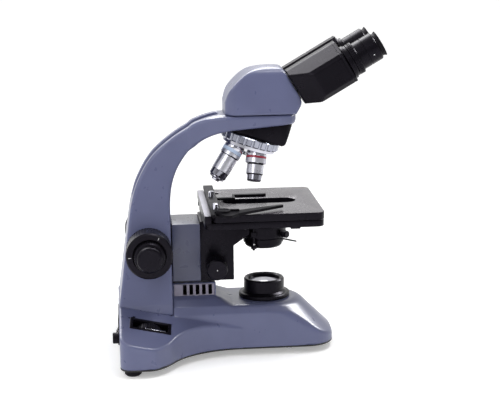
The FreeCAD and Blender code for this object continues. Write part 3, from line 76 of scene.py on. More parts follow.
def arc(centre, radius, start, end, steps=8):
    """Points of an arc between two angles in degrees."""
    angles = [math.radians(start + (end - start) * s / steps) for s in range(steps + 1)]
    return [(centre[0] + radius * math.cos(a), centre[1] + radius * math.sin(a)) for a in angles]


def polygon(u, v, points):
    """Signed distance to a closed outline, negative inside."""
    u, v = np.broadcast_arrays(u, v)
    best = np.full(u.shape, 1e9)
    sign = np.ones(u.shape)
    for (au, av), (bu, bv) in zip(points, points[1:] + points[:1]):
        eu, ev = bu - au, bv - av
        wu, wv = u - au, v - av
        t = np.clip((wu * eu + wv * ev) / max(eu * eu + ev * ev, 1e-12), 0.0, 1.0)
        best = np.minimum(best, (wu - t * eu) ** 2 + (wv - t * ev) ** 2)
        above, below, left = v >= av, v < bv, eu * wv > ev * wu
        flip = (above & below & left) | (~above & ~below & ~left)
        sign = np.where(flip, -sign, sign)
    return sign * np.sqrt(best)


def slab(value, low, high):
    """Distance to the space between two parallel planes, negative inside."""
    return np.maximum(low - value, value - high)


def rounded_rectangle(u, v, half_u, half_v, r):
    """Signed distance to a rectangle about the origin with corners of radius r."""
    du, dv = np.abs(u) - half_u + r, np.abs(v) - half_v + r
    return np.hypot(np.maximum(du, 0), np.maximum(dv, 0)) + np.minimum(np.maximum(du, dv), 0) - r


SETTLE_STEPS = 4        # how often contour moves its vertices onto the surface
PROBE = 0.05            # half the distance over which a field's slope is taken
LEAST_SLOPE = 0.25      # squared, so that a flat spot of a field moves nothing far
LONGEST_MOVE = 0.4      # of a grid step


def contour(field, low, high, step):
    """Vertices and quads of the surface where a field is zero, by surface nets."""
    axes = [np.arange(lo, hi + step, step) for lo, hi in zip(low, high)]
    grid = np.meshgrid(*axes, indexing="ij", sparse=True)
    value = np.array(np.broadcast_to(field(*grid), [len(a) for a in axes]))
    inside = value < 0
    shape = [n - 1 for n in value.shape]

    def corner(array, o):
        return array[o[0]:o[0] + shape[0], o[1]:o[1] + shape[1], o[2]:o[2] + shape[2]]

    offsets = [(i, j, k) for i in (0, 1) for j in (0, 1) for k in (0, 1)]
    count = sum(corner(inside, o).astype(np.int8) for o in offsets)
    mixed = (count > 0) & (count < 8)
    cells = np.argwhere(mixed)
    index = np.full(shape, -1, np.int64)
    index[mixed] = np.arange(len(cells))
    total = np.zeros((len(cells), 3))
    hits = np.zeros(len(cells))
    for a in offsets:
        for axis in range(3):
            if a[axis]:
                continue
            b = list(a)
            b[axis] = 1
            va = value[tuple((cells + a).T)]
            vb = value[tuple((cells + b).T)]
            cross = (va < 0) != (vb < 0)
            t = np.where(cross, va / np.where(cross, va - vb, 1.0), 0.0)
            spot = np.tile(np.array(a, float), (len(cells), 1))
            spot[:, axis] += t
            total += np.where(cross[:, None], spot, 0.0)
            hits += cross
    verts = np.array(low, float) + (cells + total / hits[:, None]) * step
    quads = []
    for axis in range(3):
        first, second = (axis + 1) % 3, (axis + 2) % 3
        ahead = np.roll(inside, -1, axis)
        change = inside != ahead
        cut = [slice(1, -1)] * 3
        cut[axis] = slice(0, -1)
        spots = np.argwhere(change[tuple(cut)]) + [0 if n == axis else 1 for n in range(3)]
        ring = []
        for df, ds in ((-1, -1), (0, -1), (0, 0), (-1, 0)):
            cell = spots.copy()
            cell[:, first] += df
            cell[:, second] += ds
            ring.append(index[tuple(cell.T)])
        face = np.stack(ring, 1)
        leaving = inside[tuple(spots.T)]
        face[~leaving] = face[~leaving][:, ::-1]
        quads.append(face)
    for _ in range(SETTLE_STEPS):
        here = field(*verts.T)
        slope = np.stack(
            [(field(*(verts + d).T) - field(*(verts - d).T)) / (2 * PROBE) for d in np.eye(3) * PROBE], 1
        )
        size = np.maximum((slope ** 2).sum(1), LEAST_SLOPE)
        move = -slope * (here / size)[:, None]
        reach = np.linalg.norm(move, axis=1)[:, None]
        verts = verts + move * np.minimum(1.0, LONGEST_MOVE * step / np.maximum(reach, 1e-9))
    return verts, np.concatenate(quads)


def add_object(name, data):
    """A new object in the scene for a mesh, light or camera."""
    item = bpy.data.objects.new(name, data)
    bpy.context.scene.collection.objects.link(item)
    return item


def shell(name, body, replaced, field, low, high, step, material, place=None, dark=None):
    """A moulded or cast piece, from its field, standing for CAD nodes. Faces where dark is true are painted black,
    as painted shade.
    """
    verts, quads = contour(field, low, high, step)
    verts = verts * MM
    mesh = bpy.data.meshes.new(name)
    mesh.from_pydata(verts.tolist(), [], quads.tolist())
    mesh.materials.append(material)
    # Faces where dark is true get black enamel: painted shade inside openings
    if dark is not None:
        mesh.materials.append(BLACK_ENAMEL)
        middle = verts[quads].mean(1) / MM
        mesh.polygons.foreach_set("material_index", dark(*middle.T).astype(np.int32))
    if place is not None:
        mesh.transform(place)
    mesh.validate()
    mesh.shade_smooth()
    piece = add_object(name, mesh)
    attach(piece, body)
    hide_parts(*replaced)


# ------------------------------------------------------------------ materials


def shader(name, colour, roughness, metallic=0.0, coat=0.0, coat_roughness=0.1, specular=None):
    """A material whose only node so far is its Principled BSDF."""
    material = bpy.data.materials.new(name)
    material.use_nodes = True
    tree = material.node_tree
    principled = tree.nodes["Principled BSDF"]
    principled.inputs["Base Color"].default_value = (*colour, 1.0)
    principled.inputs["Roughness"].default_value = roughness
    principled.inputs["Metallic"].default_value = metallic
    principled.inputs["Coat Weight"].default_value = coat
    principled.inputs["Coat Roughness"].default_value = coat_roughness
    if specular is not None:
        principled.inputs["Specular IOR Level"].default_value = specular
    return material


def link(tree, source, target):
    tree.links.new(source, target)


def position(tree):
    """The place on the object, in its own metres."""
    return tree.nodes.new("ShaderNodeTexCoord").outputs["Object"]


def noise(tree, scale, detail=3.0, rough=0.5, stretch=None):
    """Noise over the object's own metres, with its scale in features per metre."""
    node = tree.nodes.new("ShaderNodeTexNoise")
    node.inputs["Scale"].default_value = scale
    node.inputs["Detail"].default_value = detail
    node.inputs["Roughness"].default_value = rough
    if stretch:
        mapping = tree.nodes.new("ShaderNodeMapping")
        mapping.inputs["Scale"].default_value = stretch
        link(tree, position(tree), mapping.inputs["Vector"])
        link(tree, mapping.outputs["Vector"], node.inputs["Vector"])
    else:
        link(tree, position(tree), node.inputs["Vector"])
    return node.outputs["Fac"]


def remap(tree, value, low, high, from_low=0.3, from_high=0.7):
    """The value's range from_low to from_high, stretched over low to high."""
    node = tree.nodes.new("ShaderNodeMapRange")
    node.inputs["From Min"].default_value = from_low
    node.inputs["From Max"].default_value = from_high
    node.inputs["To Min"].default_value = low
    node.inputs["To Max"].default_value = high
    link(tree, value, node.inputs["Value"])
    return node.outputs["Result"]


def bump(tree, value, strength, distance):
    """A surface normal raised by the value, over the given distance in metres."""
    node = tree.nodes.new("ShaderNodeBump")
    node.inputs["Strength"].default_value = strength
    node.inputs["Distance"].default_value = distance
    link(tree, value, node.inputs["Height"])
    return node


WEAR_RADIUS = 0.0007         # metres
WEAR_PATCHES = 260.0         # the rest are noise scales, in features per metre
MOTTLING = 38.0
GLOSS_PATCHES = 90.0
GLASS_PATCHES = 60.0
COAT_ROUGHNESS = 0.12


def multiply(tree, value):
    """A node that multiplies the value by its second input."""
    node = tree.nodes.new("ShaderNodeMath")
    node.operation = "MULTIPLY"
    link(tree, value, node.inputs[0])
    return node


def edge_wear(tree):
    """A mask of sharp edges, broken up by noise, from how a rounded normal differs from the true one."""
    rounded = tree.nodes.new("ShaderNodeBevel")
    rounded.samples = 4
    rounded.inputs["Radius"].default_value = WEAR_RADIUS
    geometry = tree.nodes.new("ShaderNodeNewGeometry")
    match = tree.nodes.new("ShaderNodeVectorMath")
    match.operation = "DOT_PRODUCT"
    link(tree, rounded.outputs["Normal"], match.inputs[0])
    link(tree, geometry.outputs["Normal"], match.inputs[1])
    edges = remap(tree, match.outputs["Value"], 1.0, 0.0, 0.86, 0.995)
    patch = remap(tree, noise(tree, WEAR_PATCHES, 4.0), 0.0, 1.0, 0.45, 0.7)
    both = multiply(tree, edges)
    link(tree, patch, both.inputs[1])
    return both.outputs[0]


def mix_colour(tree, factor, a, b):
    """Colour a where the factor is 0 and b where it is 1. Either is a colour or another node's output."""
    node = tree.nodes.new("ShaderNodeMix")
    node.data_type = "RGBA"
    for socket, value in ((node.inputs[6], a), (node.inputs[7], b)):
        if isinstance(value, tuple):
            socket.default_value = (*value, 1.0)
        else:
            link(tree, value, socket)
    link(tree, factor, node.inputs[0])
    return node.outputs[2]


def finish(
    name, colour, dark, light_edge, roughness, spread, grain, height,
    metallic=0.0, wear=0.35, specular=None, stretch=None, tint=None,
):
    """A finish with mottled colour, worn edges, varied gloss and a fine surface grain.

    The colour varies between colour and dark, and the roughness by spread. The grain is in features per metre
    and its height in metres. Wear is the share of light_edge on the sharpest edges.
    """
    material = shader(name, colour, roughness, metallic, coat_roughness=COAT_ROUGHNESS, specular=specular)
    tree = material.node_tree
    principled = tree.nodes["Principled BSDF"]
    if tint:
        principled.inputs["Specular Tint"].default_value = (*tint, 1.0)
    mottled = mix_colour(tree, remap(tree, noise(tree, MOTTLING, 5.0), 0.0, 1.0), dark, colour)
    if wear:
        amount = multiply(tree, edge_wear(tree))
        amount.inputs[1].default_value = wear
        mottled = mix_colour(tree, amount.outputs[0], mottled, light_edge)
    link(tree, mottled, principled.inputs["Base Color"])
    gloss = remap(tree, noise(tree, GLOSS_PATCHES, 4.0), roughness - spread, roughness + spread)
    link(tree, gloss, principled.inputs["Roughness"])
    relief = bump(tree, noise(tree, grain, 2.0, 0.6, stretch), 0.6, height)
    link(tree, relief.outputs["Normal"], principled.inputs["Normal"])
    return material


ENAMEL = finish(
    "grey_enamel", (0.108, 0.119, 0.220), (0.100, 0.110, 0.206), (0.20, 0.21, 0.33), 0.31, 0.04, 900.0, 0.00008,
    wear=0.0, specular=0.45,
)
# A darker copy of the grey enamel for the focus carriage: painted shade, since the carriage has the same paint as
# the arm
PAINTED_SHADE_ENAMEL = finish(
    "carriage_painted_shade", (0.062, 0.067, 0.122), (0.054, 0.059, 0.110), (0.16, 0.17, 0.26),
    0.30, 0.04, 900.0, 0.00008,
    wear=0.3, specular=0.5,
)
COOL = (0.86, 0.80, 1.0)
BLACK_ENAMEL = finish(
    "black_enamel", (0.0034, 0.0028, 0.0044), (0.0024, 0.002, 0.0032), (0.03, 0.028, 0.036),
    0.30, 0.05, 1400.0, 0.00005,
    wear=0.3, specular=0.13, tint=COOL,
)
STAGE_BLACK = finish(
    "stage_enamel", (0.004, 0.0033, 0.005), (0.003, 0.0025, 0.004), (0.04, 0.037, 0.045),
    0.30, 0.05, 1500.0, 0.00005,
    wear=0.35, specular=0.13, tint=COOL,
)
# The stage's top face: glossier than the sides, and lighter and lilac as a painted reflection of the bright
# backdrop
STAGE_TOP_PAINTED_REFLECTION = finish(
    "stage_top_painted_reflection", (0.036, 0.028, 0.040), (0.031, 0.024, 0.035), (0.09, 0.075, 0.1), 0.24, 0.04, 1500.0, 0.00003,
    wear=0.3, specular=0.55, tint=(0.96, 0.9, 1.0),
)
MATTE_BLACK = finish(
    "matte_black", (0.004, 0.0036, 0.0046), (0.003, 0.0026, 0.0035), (0.03, 0.028, 0.034),
    0.55, 0.06, 1500.0, 0.00006,
    wear=0.4, specular=0.1, tint=COOL,
)
PLASTIC = finish(
    "black_plastic", (0.0036, 0.003, 0.005), (0.0026, 0.0022, 0.0037), (0.03, 0.028, 0.036),
    0.30, 0.05, 2200.0, 0.00005,
    wear=0.3, specular=0.15, tint=COOL,
)
GRILLE = finish(
    "grille_paint", (0.20, 0.185, 0.245), (0.16, 0.148, 0.20), (0.5, 0.48, 0.52), 0.36, 0.06, 2600.0, 0.00004,
    metallic=0.35, wear=0.5, stretch=(0.08, 1.0, 1.0),
)
RUBBER = finish(
    "soft_rubber", (0.0042, 0.0036, 0.0046), (0.006, 0.0055, 0.0064), (0.02, 0.02, 0.022),
    0.55, 0.08, 1800.0, 0.00008,
    wear=0.2, specular=0.12, tint=COOL,
)
SHEET = finish(
    "sheet_steel", (0.006, 0.0055, 0.006), (0.01, 0.009, 0.009), (0.08, 0.07, 0.07), 0.45, 0.08, 1000.0, 0.00005,
    wear=0.5,
)
STEEL = finish(
    "turned_steel", (0.52, 0.52, 0.54), (0.42, 0.42, 0.44), (0.75, 0.75, 0.75), 0.28, 0.07, 2500.0, 0.00002,
    metallic=1.0, wear=0.3,
)
CHROME = finish(
    "satin_chrome", (0.60, 0.60, 0.66), (0.50, 0.50, 0.56), (0.85, 0.85, 0.88), 0.15, 0.04, 3000.0, 0.00001,
    metallic=1.0, wear=0.2,
)
BRUSHED = finish(
    "brushed_plate", (0.50, 0.49, 0.53), (0.40, 0.39, 0.43), (0.75, 0.75, 0.76), 0.34, 0.06, 3000.0, 0.00003,
    metallic=0.9, wear=0.3, stretch=(0.08, 1.0, 1.0),
)
SATIN_BARREL = finish(
    "satin_barrel", (0.58, 0.58, 0.64), (0.50, 0.50, 0.56), (0.85, 0.85, 0.88), 0.28, 0.05, 2500.0, 0.00002,
    metallic=0.85, wear=0.2,
)
DARK_CHROME = finish(
    "dark_chrome", (0.30, 0.30, 0.34), (0.22, 0.22, 0.26), (0.7, 0.7, 0.7), 0.12, 0.03, 3000.0, 0.00001,
    metallic=1.0, wear=0.3,
)
BRONZE = finish(
    "bronze", (0.5, 0.33, 0.15), (0.38, 0.24, 0.1), (0.7, 0.5, 0.25), 0.4, 0.08, 2000.0, 0.00004,
    metallic=1.0,
)
RING_CHROME = finish(
    "grip_chrome", (0.36, 0.37, 0.44), (0.30, 0.31, 0.37), (0.7, 0.7, 0.75), 0.20, 0.05, 3000.0, 0.00001,
    metallic=1.0, wear=0.2,
)
CERAMIC = finish(
    "ceramic", (0.7, 0.68, 0.63), (0.6, 0.58, 0.52), (0.8, 0.78, 0.74), 0.45, 0.06, 1200.0, 0.00004,
)
BOARD = finish(
    "circuit_board", (0.02, 0.12, 0.05), (0.015, 0.09, 0.035), (0.2, 0.3, 0.2), 0.4, 0.08, 900.0, 0.00006,
)
WHITE_PAINT = finish(
    "white_paint", (0.75, 0.75, 0.76), (0.68, 0.68, 0.7), (0.8, 0.8, 0.8), 0.5, 0.05, 1500.0, 0.00003,
)
RED_PAINT = finish(
    "red_paint", (0.34, 0.018, 0.045), (0.27, 0.013, 0.034), (0.5, 0.1, 0.12), 0.35, 0.05, 1500.0, 0.00002,
)
BLUE_PAINT = finish(
    "blue_paint", (0.50, 0.60, 0.78), (0.44, 0.54, 0.72), (0.7, 0.75, 0.8), 0.35, 0.05, 1500.0, 0.00002,
)


def glass(name, tint, roughness, transmission):
    """Coated glass, clear or frosted."""
    material = shader(name, tint, roughness, coat=0.6, coat_roughness=0.04)
    tree = material.node_tree
    principled = tree.nodes["Principled BSDF"]
    principled.inputs["Transmission Weight"].default_value = transmission
    principled.inputs["IOR"].default_value = 1.5
    gloss = remap(tree, noise(tree, GLASS_PATCHES, 3.0), roughness * 0.8, roughness * 1.2)
    link(tree, gloss, principled.inputs["Roughness"])
    return material


LINE_COLOUR = (0.02, 0.02, 0.024)


def ruled(name, pitch, start):
    """Brushed metal with dark division lines every pitch millimetres along Y, from X = start on."""
    material = finish(
        name, (0.24, 0.235, 0.275), (0.19, 0.185, 0.22), (0.5, 0.5, 0.53), 0.38, 0.06, 3000.0, 0.00003,
        metallic=0.6, wear=0.4,
    )
    tree = material.node_tree
    principled = tree.nodes["Principled BSDF"]
    before = principled.inputs["Base Color"].links[0].from_socket
    place = tree.nodes.new("ShaderNodeSeparateXYZ")
    link(tree, position(tree), place.inputs["Vector"])
    steps = tree.nodes.new("ShaderNodeMath")
    steps.operation = "PINGPONG"
    steps.inputs[1].default_value = pitch * MM / 2
    link(tree, place.outputs["Y"], steps.inputs[0])
    line = remap(tree, steps.outputs[0], 1.0, 0.0, 0.00012, 0.00022)
    strip = remap(tree, place.outputs["X"], 0.0, 1.0, start * MM, (start + 0.1) * MM)
    both = multiply(tree, line)
    link(tree, strip, both.inputs[1])
    link(tree, mix_colour(tree, both.outputs[0], before, LINE_COLOUR), principled.inputs["Base Color"])
    return material


SCALE = ruled("ruled_scale", 2.0, -48.5)
GLASS = glass("clear_glass", (0.92, 0.93, 0.97), 0.03, 0.95)
FROSTED = glass("lamp_glass", (0.66, 0.64, 0.80), 0.16, 0.0)

SLOT_LOOKS = {
    "gray_paint": ENAMEL,
    "black_paint": BLACK_ENAMEL,
    "black_plastic": PLASTIC,
    "sheet_steel": SHEET,
    "rubber": RUBBER,
    "steel": STEEL,
    "chrome": CHROME,
    "bare_aluminium": BRUSHED,
    "bronze": BRONZE,
    "optical_glass": GLASS,
    "ceramic": CERAMIC,
    "circuit_board": BOARD,
}
SLOT_OF = {s["node"]: s["material_slot"] for s in frame["record"]["subparts"]}
OWN_LOOK = {
    "stage_plate": STAGE_BLACK,
    "stage_table": STAGE_BLACK,
    "collector_lens": FROSTED,
    "slide_carrier": MATTE_BLACK,
    "spring_finger": MATTE_BLACK,
    "vent_grilles": GRILLE,
    "stage_scale_rail": SCALE,
    "focus_guide": SHEET,
    "focus_carriage": PAINTED_SHADE_ENAMEL,
    "turret": CHROME,
    "turret_grip_ring": RING_CHROME,
    "condenser_clamp_screw": PLASTIC,
}
for name, item in NODES.items():
    look = OWN_LOOK.get(name, SLOT_LOOKS[SLOT_OF[name]])
    if item.data.materials:
        for number in range(len(item.data.materials)):
            item.material_slots[number].material = look
    else:
        item.data.materials.append(look)

# ------------------------------------------------------------------ base

OPTICAL = 20.0                          # X of the light path
FLOOR = 9.5                             # underside of the base casting
BODY_TOP = 59
BLOCK_TOP = 83
COS_45 = 0.7071
SLOPE_BACK, SLOPE_OUT = 0.22, 0.377     # how the wing's top falls, to the front and outwards
ROOF_STEEP = 1.091                      # length of the roof's normal before it is made a unit
ROOF_CORNER = (-122, 110, 34)
SWEEP = [(-12, 46), (-36, 49), (-60, 58), (-82, 75), (-96, 95), (-110, 108), (-122, 110)]
WING_PLAN = [(30, -60), (30, 18), (6, 40)] + curve(SWEEP) + arc((-136, 96), 14, 90, 180) + [(-150, -60)]
NOSE_PLAN = [(98, -60), (98, 14)] + arc((66, 14), 32, 0, 75)[1:] + [(40, 52), (-150, 52), (-150, -60)]
SECTION = [(-60, -60), (46, -60), (46, FLOOR), (45, 51), (40, BODY_TOP), (25.5, 68), (-60, 68)]
SIDE = [(-200, -60), (140, -60), (140, BODY_TOP), (-20, BODY_TOP), (-38, 68), (-200, 68)]


def base_field(x, y, z):
    """The base: a body with a rounded nose, two wings, the block under the carriage, and the openings."""
    ay = np.abs(y)
    section = polygon(ay, z, SECTION)
    side = polygon(x, z, SIDE)
    reach = np.where(x > OPTICAL, np.hypot(x - OPTICAL, y), ay)
    nose = (reach - 40 + z - BODY_TOP) * COS_45 - np.where(x > OPTICAL, 0.0, 50.0)
    soft = np.interp(x, [20, 66], [3.0, 5.0])
    body = rmax(rmax(rmax(section, side, 4.0), nose, soft), polygon(x, ay, NOSE_PLAN), 2.5)
    behind, beyond = x - ROOF_CORNER[0], ay - ROOF_CORNER[1]
    roof = (SLOPE_BACK * behind + SLOPE_OUT * beyond + z - ROOF_CORNER[2]) / ROOF_STEEP
    wings = rmax(polygon(x, ay, WING_PLAN), roof, 2.0)
    block = rmax(rmax(slab(x, -88, -38), ay - 24, 1.5), z - BLOCK_TOP, 1.5)
    whole = rmin(rmin(body, wings, 1.6), block, 1.5)
    seat = np.maximum(np.maximum(x + 88.1, ay - 44.8), 50.5 - z)
    whole = np.maximum(whole, -seat)
    grille = np.maximum(np.maximum(slab(x, -86.2, -39.8), 4 - ay), slab(z, 68.0, 81.9))
    whole = np.maximum(whole, -grille)
    lamp = np.maximum(np.hypot(x - OPTICAL, y) - 17.5, 45 - z)
    whole = np.maximum(whole, -lamp)
    inlet = np.maximum(np.maximum(x + 133, np.abs(y - 16) - 13.5), np.abs(z - 32) - 9.5)
    switch = np.maximum(np.maximum(x + 137.5, np.abs(y + 54.5) - 6.0), np.abs(z - 45) - 9.0)
    whole = np.maximum(np.maximum(whole, -inlet), -switch)
    u, v, w = to_roof(x, y, z)
    wheel = np.maximum(np.maximum(np.abs(u) - 20.4, np.abs(v) - 6.8), -34.0 - w)
    whole = np.maximum(whole, -wheel)
    return rmax(whole, FLOOR - z, 0.5)


ROOF_NORMAL = Vector((SLOPE_BACK, -SLOPE_OUT, 1.0)).normalized()
ROOF_ALONG = Vector((1.0, 0.0, -SLOPE_BACK)).normalized()
ROOF_DOWN = -ROOF_NORMAL.cross(ROOF_ALONG)
DIMMER = Vector((-115.0, -70.0, ROOF_CORNER[2] + SLOPE_OUT * 40 - SLOPE_BACK * 7))


def to_roof(x, y, z):
    """Coordinates along, across and square to the wing's top at the dimmer wheel."""
    dx, dy, dz = x - DIMMER.x, y - DIMMER.y, z - DIMMER.z
    return tuple(dx * a.x + dy * a.y + dz * a.z for a in (ROOF_ALONG, ROOF_DOWN, ROOF_NORMAL))


def base_painted_shade(x, y, z):
    """Where the casting is painted black, as painted shade: inside the openings for the wheel, grilles, lamp,
    inlet and switch.
    """
    u, v, w = to_roof(x, y, z)
    wheel = (np.abs(u) < 20.9) & (np.abs(v) < 7.3) & (w < -0.8)
    grille = (np.abs(x + 63) < 23.4) & (np.abs(y) < 23.2) & (np.abs(z - 74.95) < 7.0)
    lamp = (np.hypot(x - OPTICAL, y) < 18.5) & (z < 58.0)
    inlet_or_switch = ((y > 1) & (y < 31)) | ((y < -47) & (y > -62))
    rear = (x < -132) & (x > -149.2) & (z > 21) & (z < 56) & inlet_or_switch
    return wheel | grille | lamp | rear


shell(
    "base_shell", "frame", ["base_casting"], base_field, (-153, -113, 7), (101, 113, 86), 1.6, ENAMEL,
    dark=base_painted_shade,
)

# ------------------------------------------------------------------ arm

LEAN = math.radians(18)     # of the nosepiece
APEX_HIGH = 287             # where the nosepiece's axis meets the light path
OUTER = [(-136.5, 152), (-132, 178), (-124, 203), (-108, 230), (-85, 250.5), (-60, 265.5), (-38, 273), (-20, 275)]
INNER = [(-20, 258.4), (-39, 253.4), (-54.5, 245.6), (-71, 229), (-82.5, 208), (-87.6, 184), (-88.4, 150)]
ARM_SIDE = (
    [(-149, 50), (-149, 64)]
    + curve(OUTER)
    + [(56, 275)]
    + curve([(56, 269), (54.8, 266.0), (52, 264.4)])
    + curve(INNER)
    + [(-88.4, 50)]
)
ARM_WIDTH = (
    [(-60, 50), (45, 50)]
    + curve([(45, 64), (40, 95), (34.5, 128), (27, 175), (22, 215), (20, 245)])
    + [(20, 300), (-60, 300)]
)
PLATE_PLAN = (
    [(-62, -60), (-62, 19)]
    + curve([(-62, 19), (-50, 21), (-38, 26), (-22, 30)])[1:]
    + curve([(40, 30), (51.3, 25.6), (56, 14)])
    + [(56, -60)]
)
GROOVE = (
    [(-160, 183), (-122, 183)]
    + curve([(-116, 199.5), (-101, 224), (-81, 243), (-58, 257), (-31, 265.5)])
    + [(-31, 300), (-160, 300)]
)


def arm_field(x, y, z):
    """The bow and its head plate, with the groove along the back and the room for the nosepiece."""
    ay = np.abs(y)
    side = polygon(x, z, ARM_SIDE)
    bow = rmax(side, polygon(ay, z, ARM_WIDTH), 3.0)
    plate = rmax(side, np.maximum(polygon(x, ay, PLATE_PLAN), 240 - z), 2.5)
    whole = rmin(bow, plate, 5.0)
    groove = rmax(ay - 10, polygon(x, z, GROOVE), 2.0)
    along = (x - OPTICAL) * -math.sin(LEAN) + (z - APEX_HIGH) * -math.cos(LEAN)
    across = (x - OPTICAL) * math.cos(LEAN) + (z - APEX_HIGH) * -math.sin(LEAN)
    whole = np.maximum(whole, -np.maximum(np.hypot(across, y) - 35.2, 36 - along))
    return rmax(whole, -groove, 1.6)


shell(
    "arm_shell", "frame", ["arm_casting"], arm_field, (-152, -48, 48), (59, 48, 278), 1.5, ENAMEL,
)

# ------------------------------------------------------------------ head

TILT = math.radians(30)
HINGE = Vector((50, 0, 311.9))
WAY = Vector((math.cos(TILT), 0, math.sin(TILT)))
RISE = Vector((-math.sin(TILT), 0, math.cos(TILT)))


def on_tube(run, rise):
    """X and Z of a point on the binocular body, from its place along and square to the hinge."""
    spot = HINGE + WAY * run + RISE * rise
    return (spot.x, spot.z)


HEAD_SIDE = (
    [(-24, 276)]
    + curve(
        [(-24, 290), (-18.7, 303), (-5, 318), (8.6, 326), (26, 329.6), (36, 329.0), (41.5, 327.4)]
        + [on_tube(0.6, 13.5)]
    )
    + curve([on_tube(0.6, -21), (62.6, 288.8), (61.6, 284.5)])
    + [(56, 276)]
)
CROWN = (
    [(-60, 200), (32, 200), (32, 276)]
    + curve([(29.8, 296), (27.7, 314), (25.4, 322.5), (20.5, 326.8), (11, 329.1), (0, 330)])
    + [(-60, 330)]
)


def head_field(x, y, z):
    """The head, with the room for its seat ring in the underside."""
    ay = np.abs(y)
    plan = rounded_rectangle(x - 21.5, y, 47.5, 32.0, 20.0)
    whole = rmax(rmax(polygon(x, z, HEAD_SIDE), plan, 1.5), polygon(ay, z, CROWN), 2.5)
    room = np.maximum(np.hypot(x - OPTICAL, y) - 25.8, z - 280.8)
    return np.maximum(whole, -room)


shell(
    "head_shell", "head", ["head_housing"], head_field, (-27, -35, 273), (72, 35, 333), 1.1, ENAMEL,
)

# ------------------------------------------------------------------ binocular body

TUBE_PLACE = Matrix(
    (
        (WAY.x, 0, RISE.x, HINGE.x * MM),
        (0, 1, 0, 0),
        (WAY.z, 0, RISE.z, HINGE.z * MM),
        (0, 0, 0, 1),
    )
)
EYE_SIDE = 31       # from the middle to an eyepiece's axis
EYE_DROP = 14       # from the hinge's axis to the eyepieces'
BOX_START = 1.6
BOX_TOP = 13.1
BOX_BOTTOM = -36.1
BOX_ACROSS = [(1.5, 1), (8, 13), (21, 13), (43.5, 1), (46, -3), (46, -30), (40, -36), (10, -36), (1.5, -3)]


def box_field(side, start, end, room_start, room_end, seam, finish_at):
    """The field of one prism box, with its own knuckle, the room for the other's and the way for light."""
    box_along = [
        (BOX_START, -29), (20, BOX_BOTTOM), (finish_at, BOX_BOTTOM), (finish_at, BOX_TOP), (BOX_START, BOX_TOP),
    ]

    def field(x, y, z):
        out = side * y
        across = polygon(out, z, BOX_ACROSS)
        whole = rmax(across, polygon(x, z, box_along), 1.2)
        whole = rmax(whole, (out - 31 - 0.685 * (x - BOX_START)) * 0.825, 1.6)
        axis = np.hypot(y, z)
        room = np.maximum(axis - 10.4, slab(x, room_start, room_end))
        knuckle = rmax(axis - 10.0, slab(x, start, end), 0.6)
        whole = np.minimum(np.maximum(whole, -room), knuckle)
        if seam:
            whole = np.maximum(whole, -np.maximum(slab(x, seam - 0.5, seam + 0.5), 11.6 - z))
        rim = slab(x, finish_at - 4.4, finish_at - 3.7)
        whole = rmax(whole, -np.maximum(rim, -0.6 - across), 0.3)
        light = np.maximum(np.hypot(out - EYE_SIDE, z + EYE_DROP) - 11.6, 50 - x)
        return np.maximum(np.maximum(whole, -light), 6.05 - axis)

    return field


for hand, side, start, end, room_start, room_end, seam, finish_at in (
    ("left", -1, 1.6, 19.5, 19.8, 37.9, None, 65.5),
    ("right", 1, 19.8, 37.5, 0.6, 19.5, 34.3, 71.5),
):
    low = (0, -48 if side < 0 else -12, -39)
    high = (finish_at + 2, 12 if side < 0 else 48, 15)
    shell(
        f"{hand}_prism_shell",
        f"{hand}_tube",
        [f"{hand}_prism_box"],
        box_field(side, start, end, room_start, room_end, seam, finish_at),
        low,
        high,
        0.9,
        BLACK_ENAMEL,
        TUBE_PLACE,
    )

# ------------------------------------------------------------------ softened copies of CAD pieces


SHARP = math.radians(28.0)      # edges sharper than this are rounded
FLAT = math.radians(1.0)        # faces nearer to one plane than this are joined first


def softened(node, body, width, look):
    """A copy of a machined CAD node whose sharp edges are rounded, in its place."""
    source = NODES[node]
    mesh = source.data.copy()
    mesh.name = node + "_soft"
    work = bmesh.new()
    work.from_mesh(mesh)
    bmesh.ops.remove_doubles(work, verts=work.verts, dist=1e-6)
    bmesh.ops.dissolve_limit(work, angle_limit=FLAT, verts=work.verts, edges=work.edges)
    work.to_mesh(mesh)
    work.free()
    piece = add_object(node + "_soft", mesh)
    mesh.materials.clear()
    mesh.materials.append(look)
    modifier = piece.modifiers.new("edge", "BEVEL")
    modifier.width = width * MM
    modifier.segments = 3
    modifier.limit_method = "ANGLE"
    modifier.angle_limit = SHARP
    modifier.harden_normals = True
    modifier.use_clamp_overlap = True
    mesh.shade_smooth()
    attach(piece, body)
    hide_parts(node)


BODY_OF = {n: b for b, names in frame["record"]["behaviour"]["bodies"].items() for n in names}
for node, width in (
    ("focus_carriage", 0.9),
    ("stage_bracket", 1.0),
    ("stage_table", 0.7),
    ("stage_plate", 0.8),
    ("stage_scale_rail", 0.25),
    ("slide_carrier", 0.25),
    ("nosepiece_housing", 1.0),
    ("dimmer_bezel", 0.4),
    ("bottom_plate", 0.3),
    ("switch_frame", 0.4),
    ("power_inlet", 0.4),
):
    look = OWN_LOOK.get(node, SLOT_LOOKS[SLOT_OF[node]])
    softened(node, BODY_OF[node], width, look)

# ------------------------------------------------------------------ small details


CREASE = math.radians(32)       # sharper edges of a turned piece stay sharp


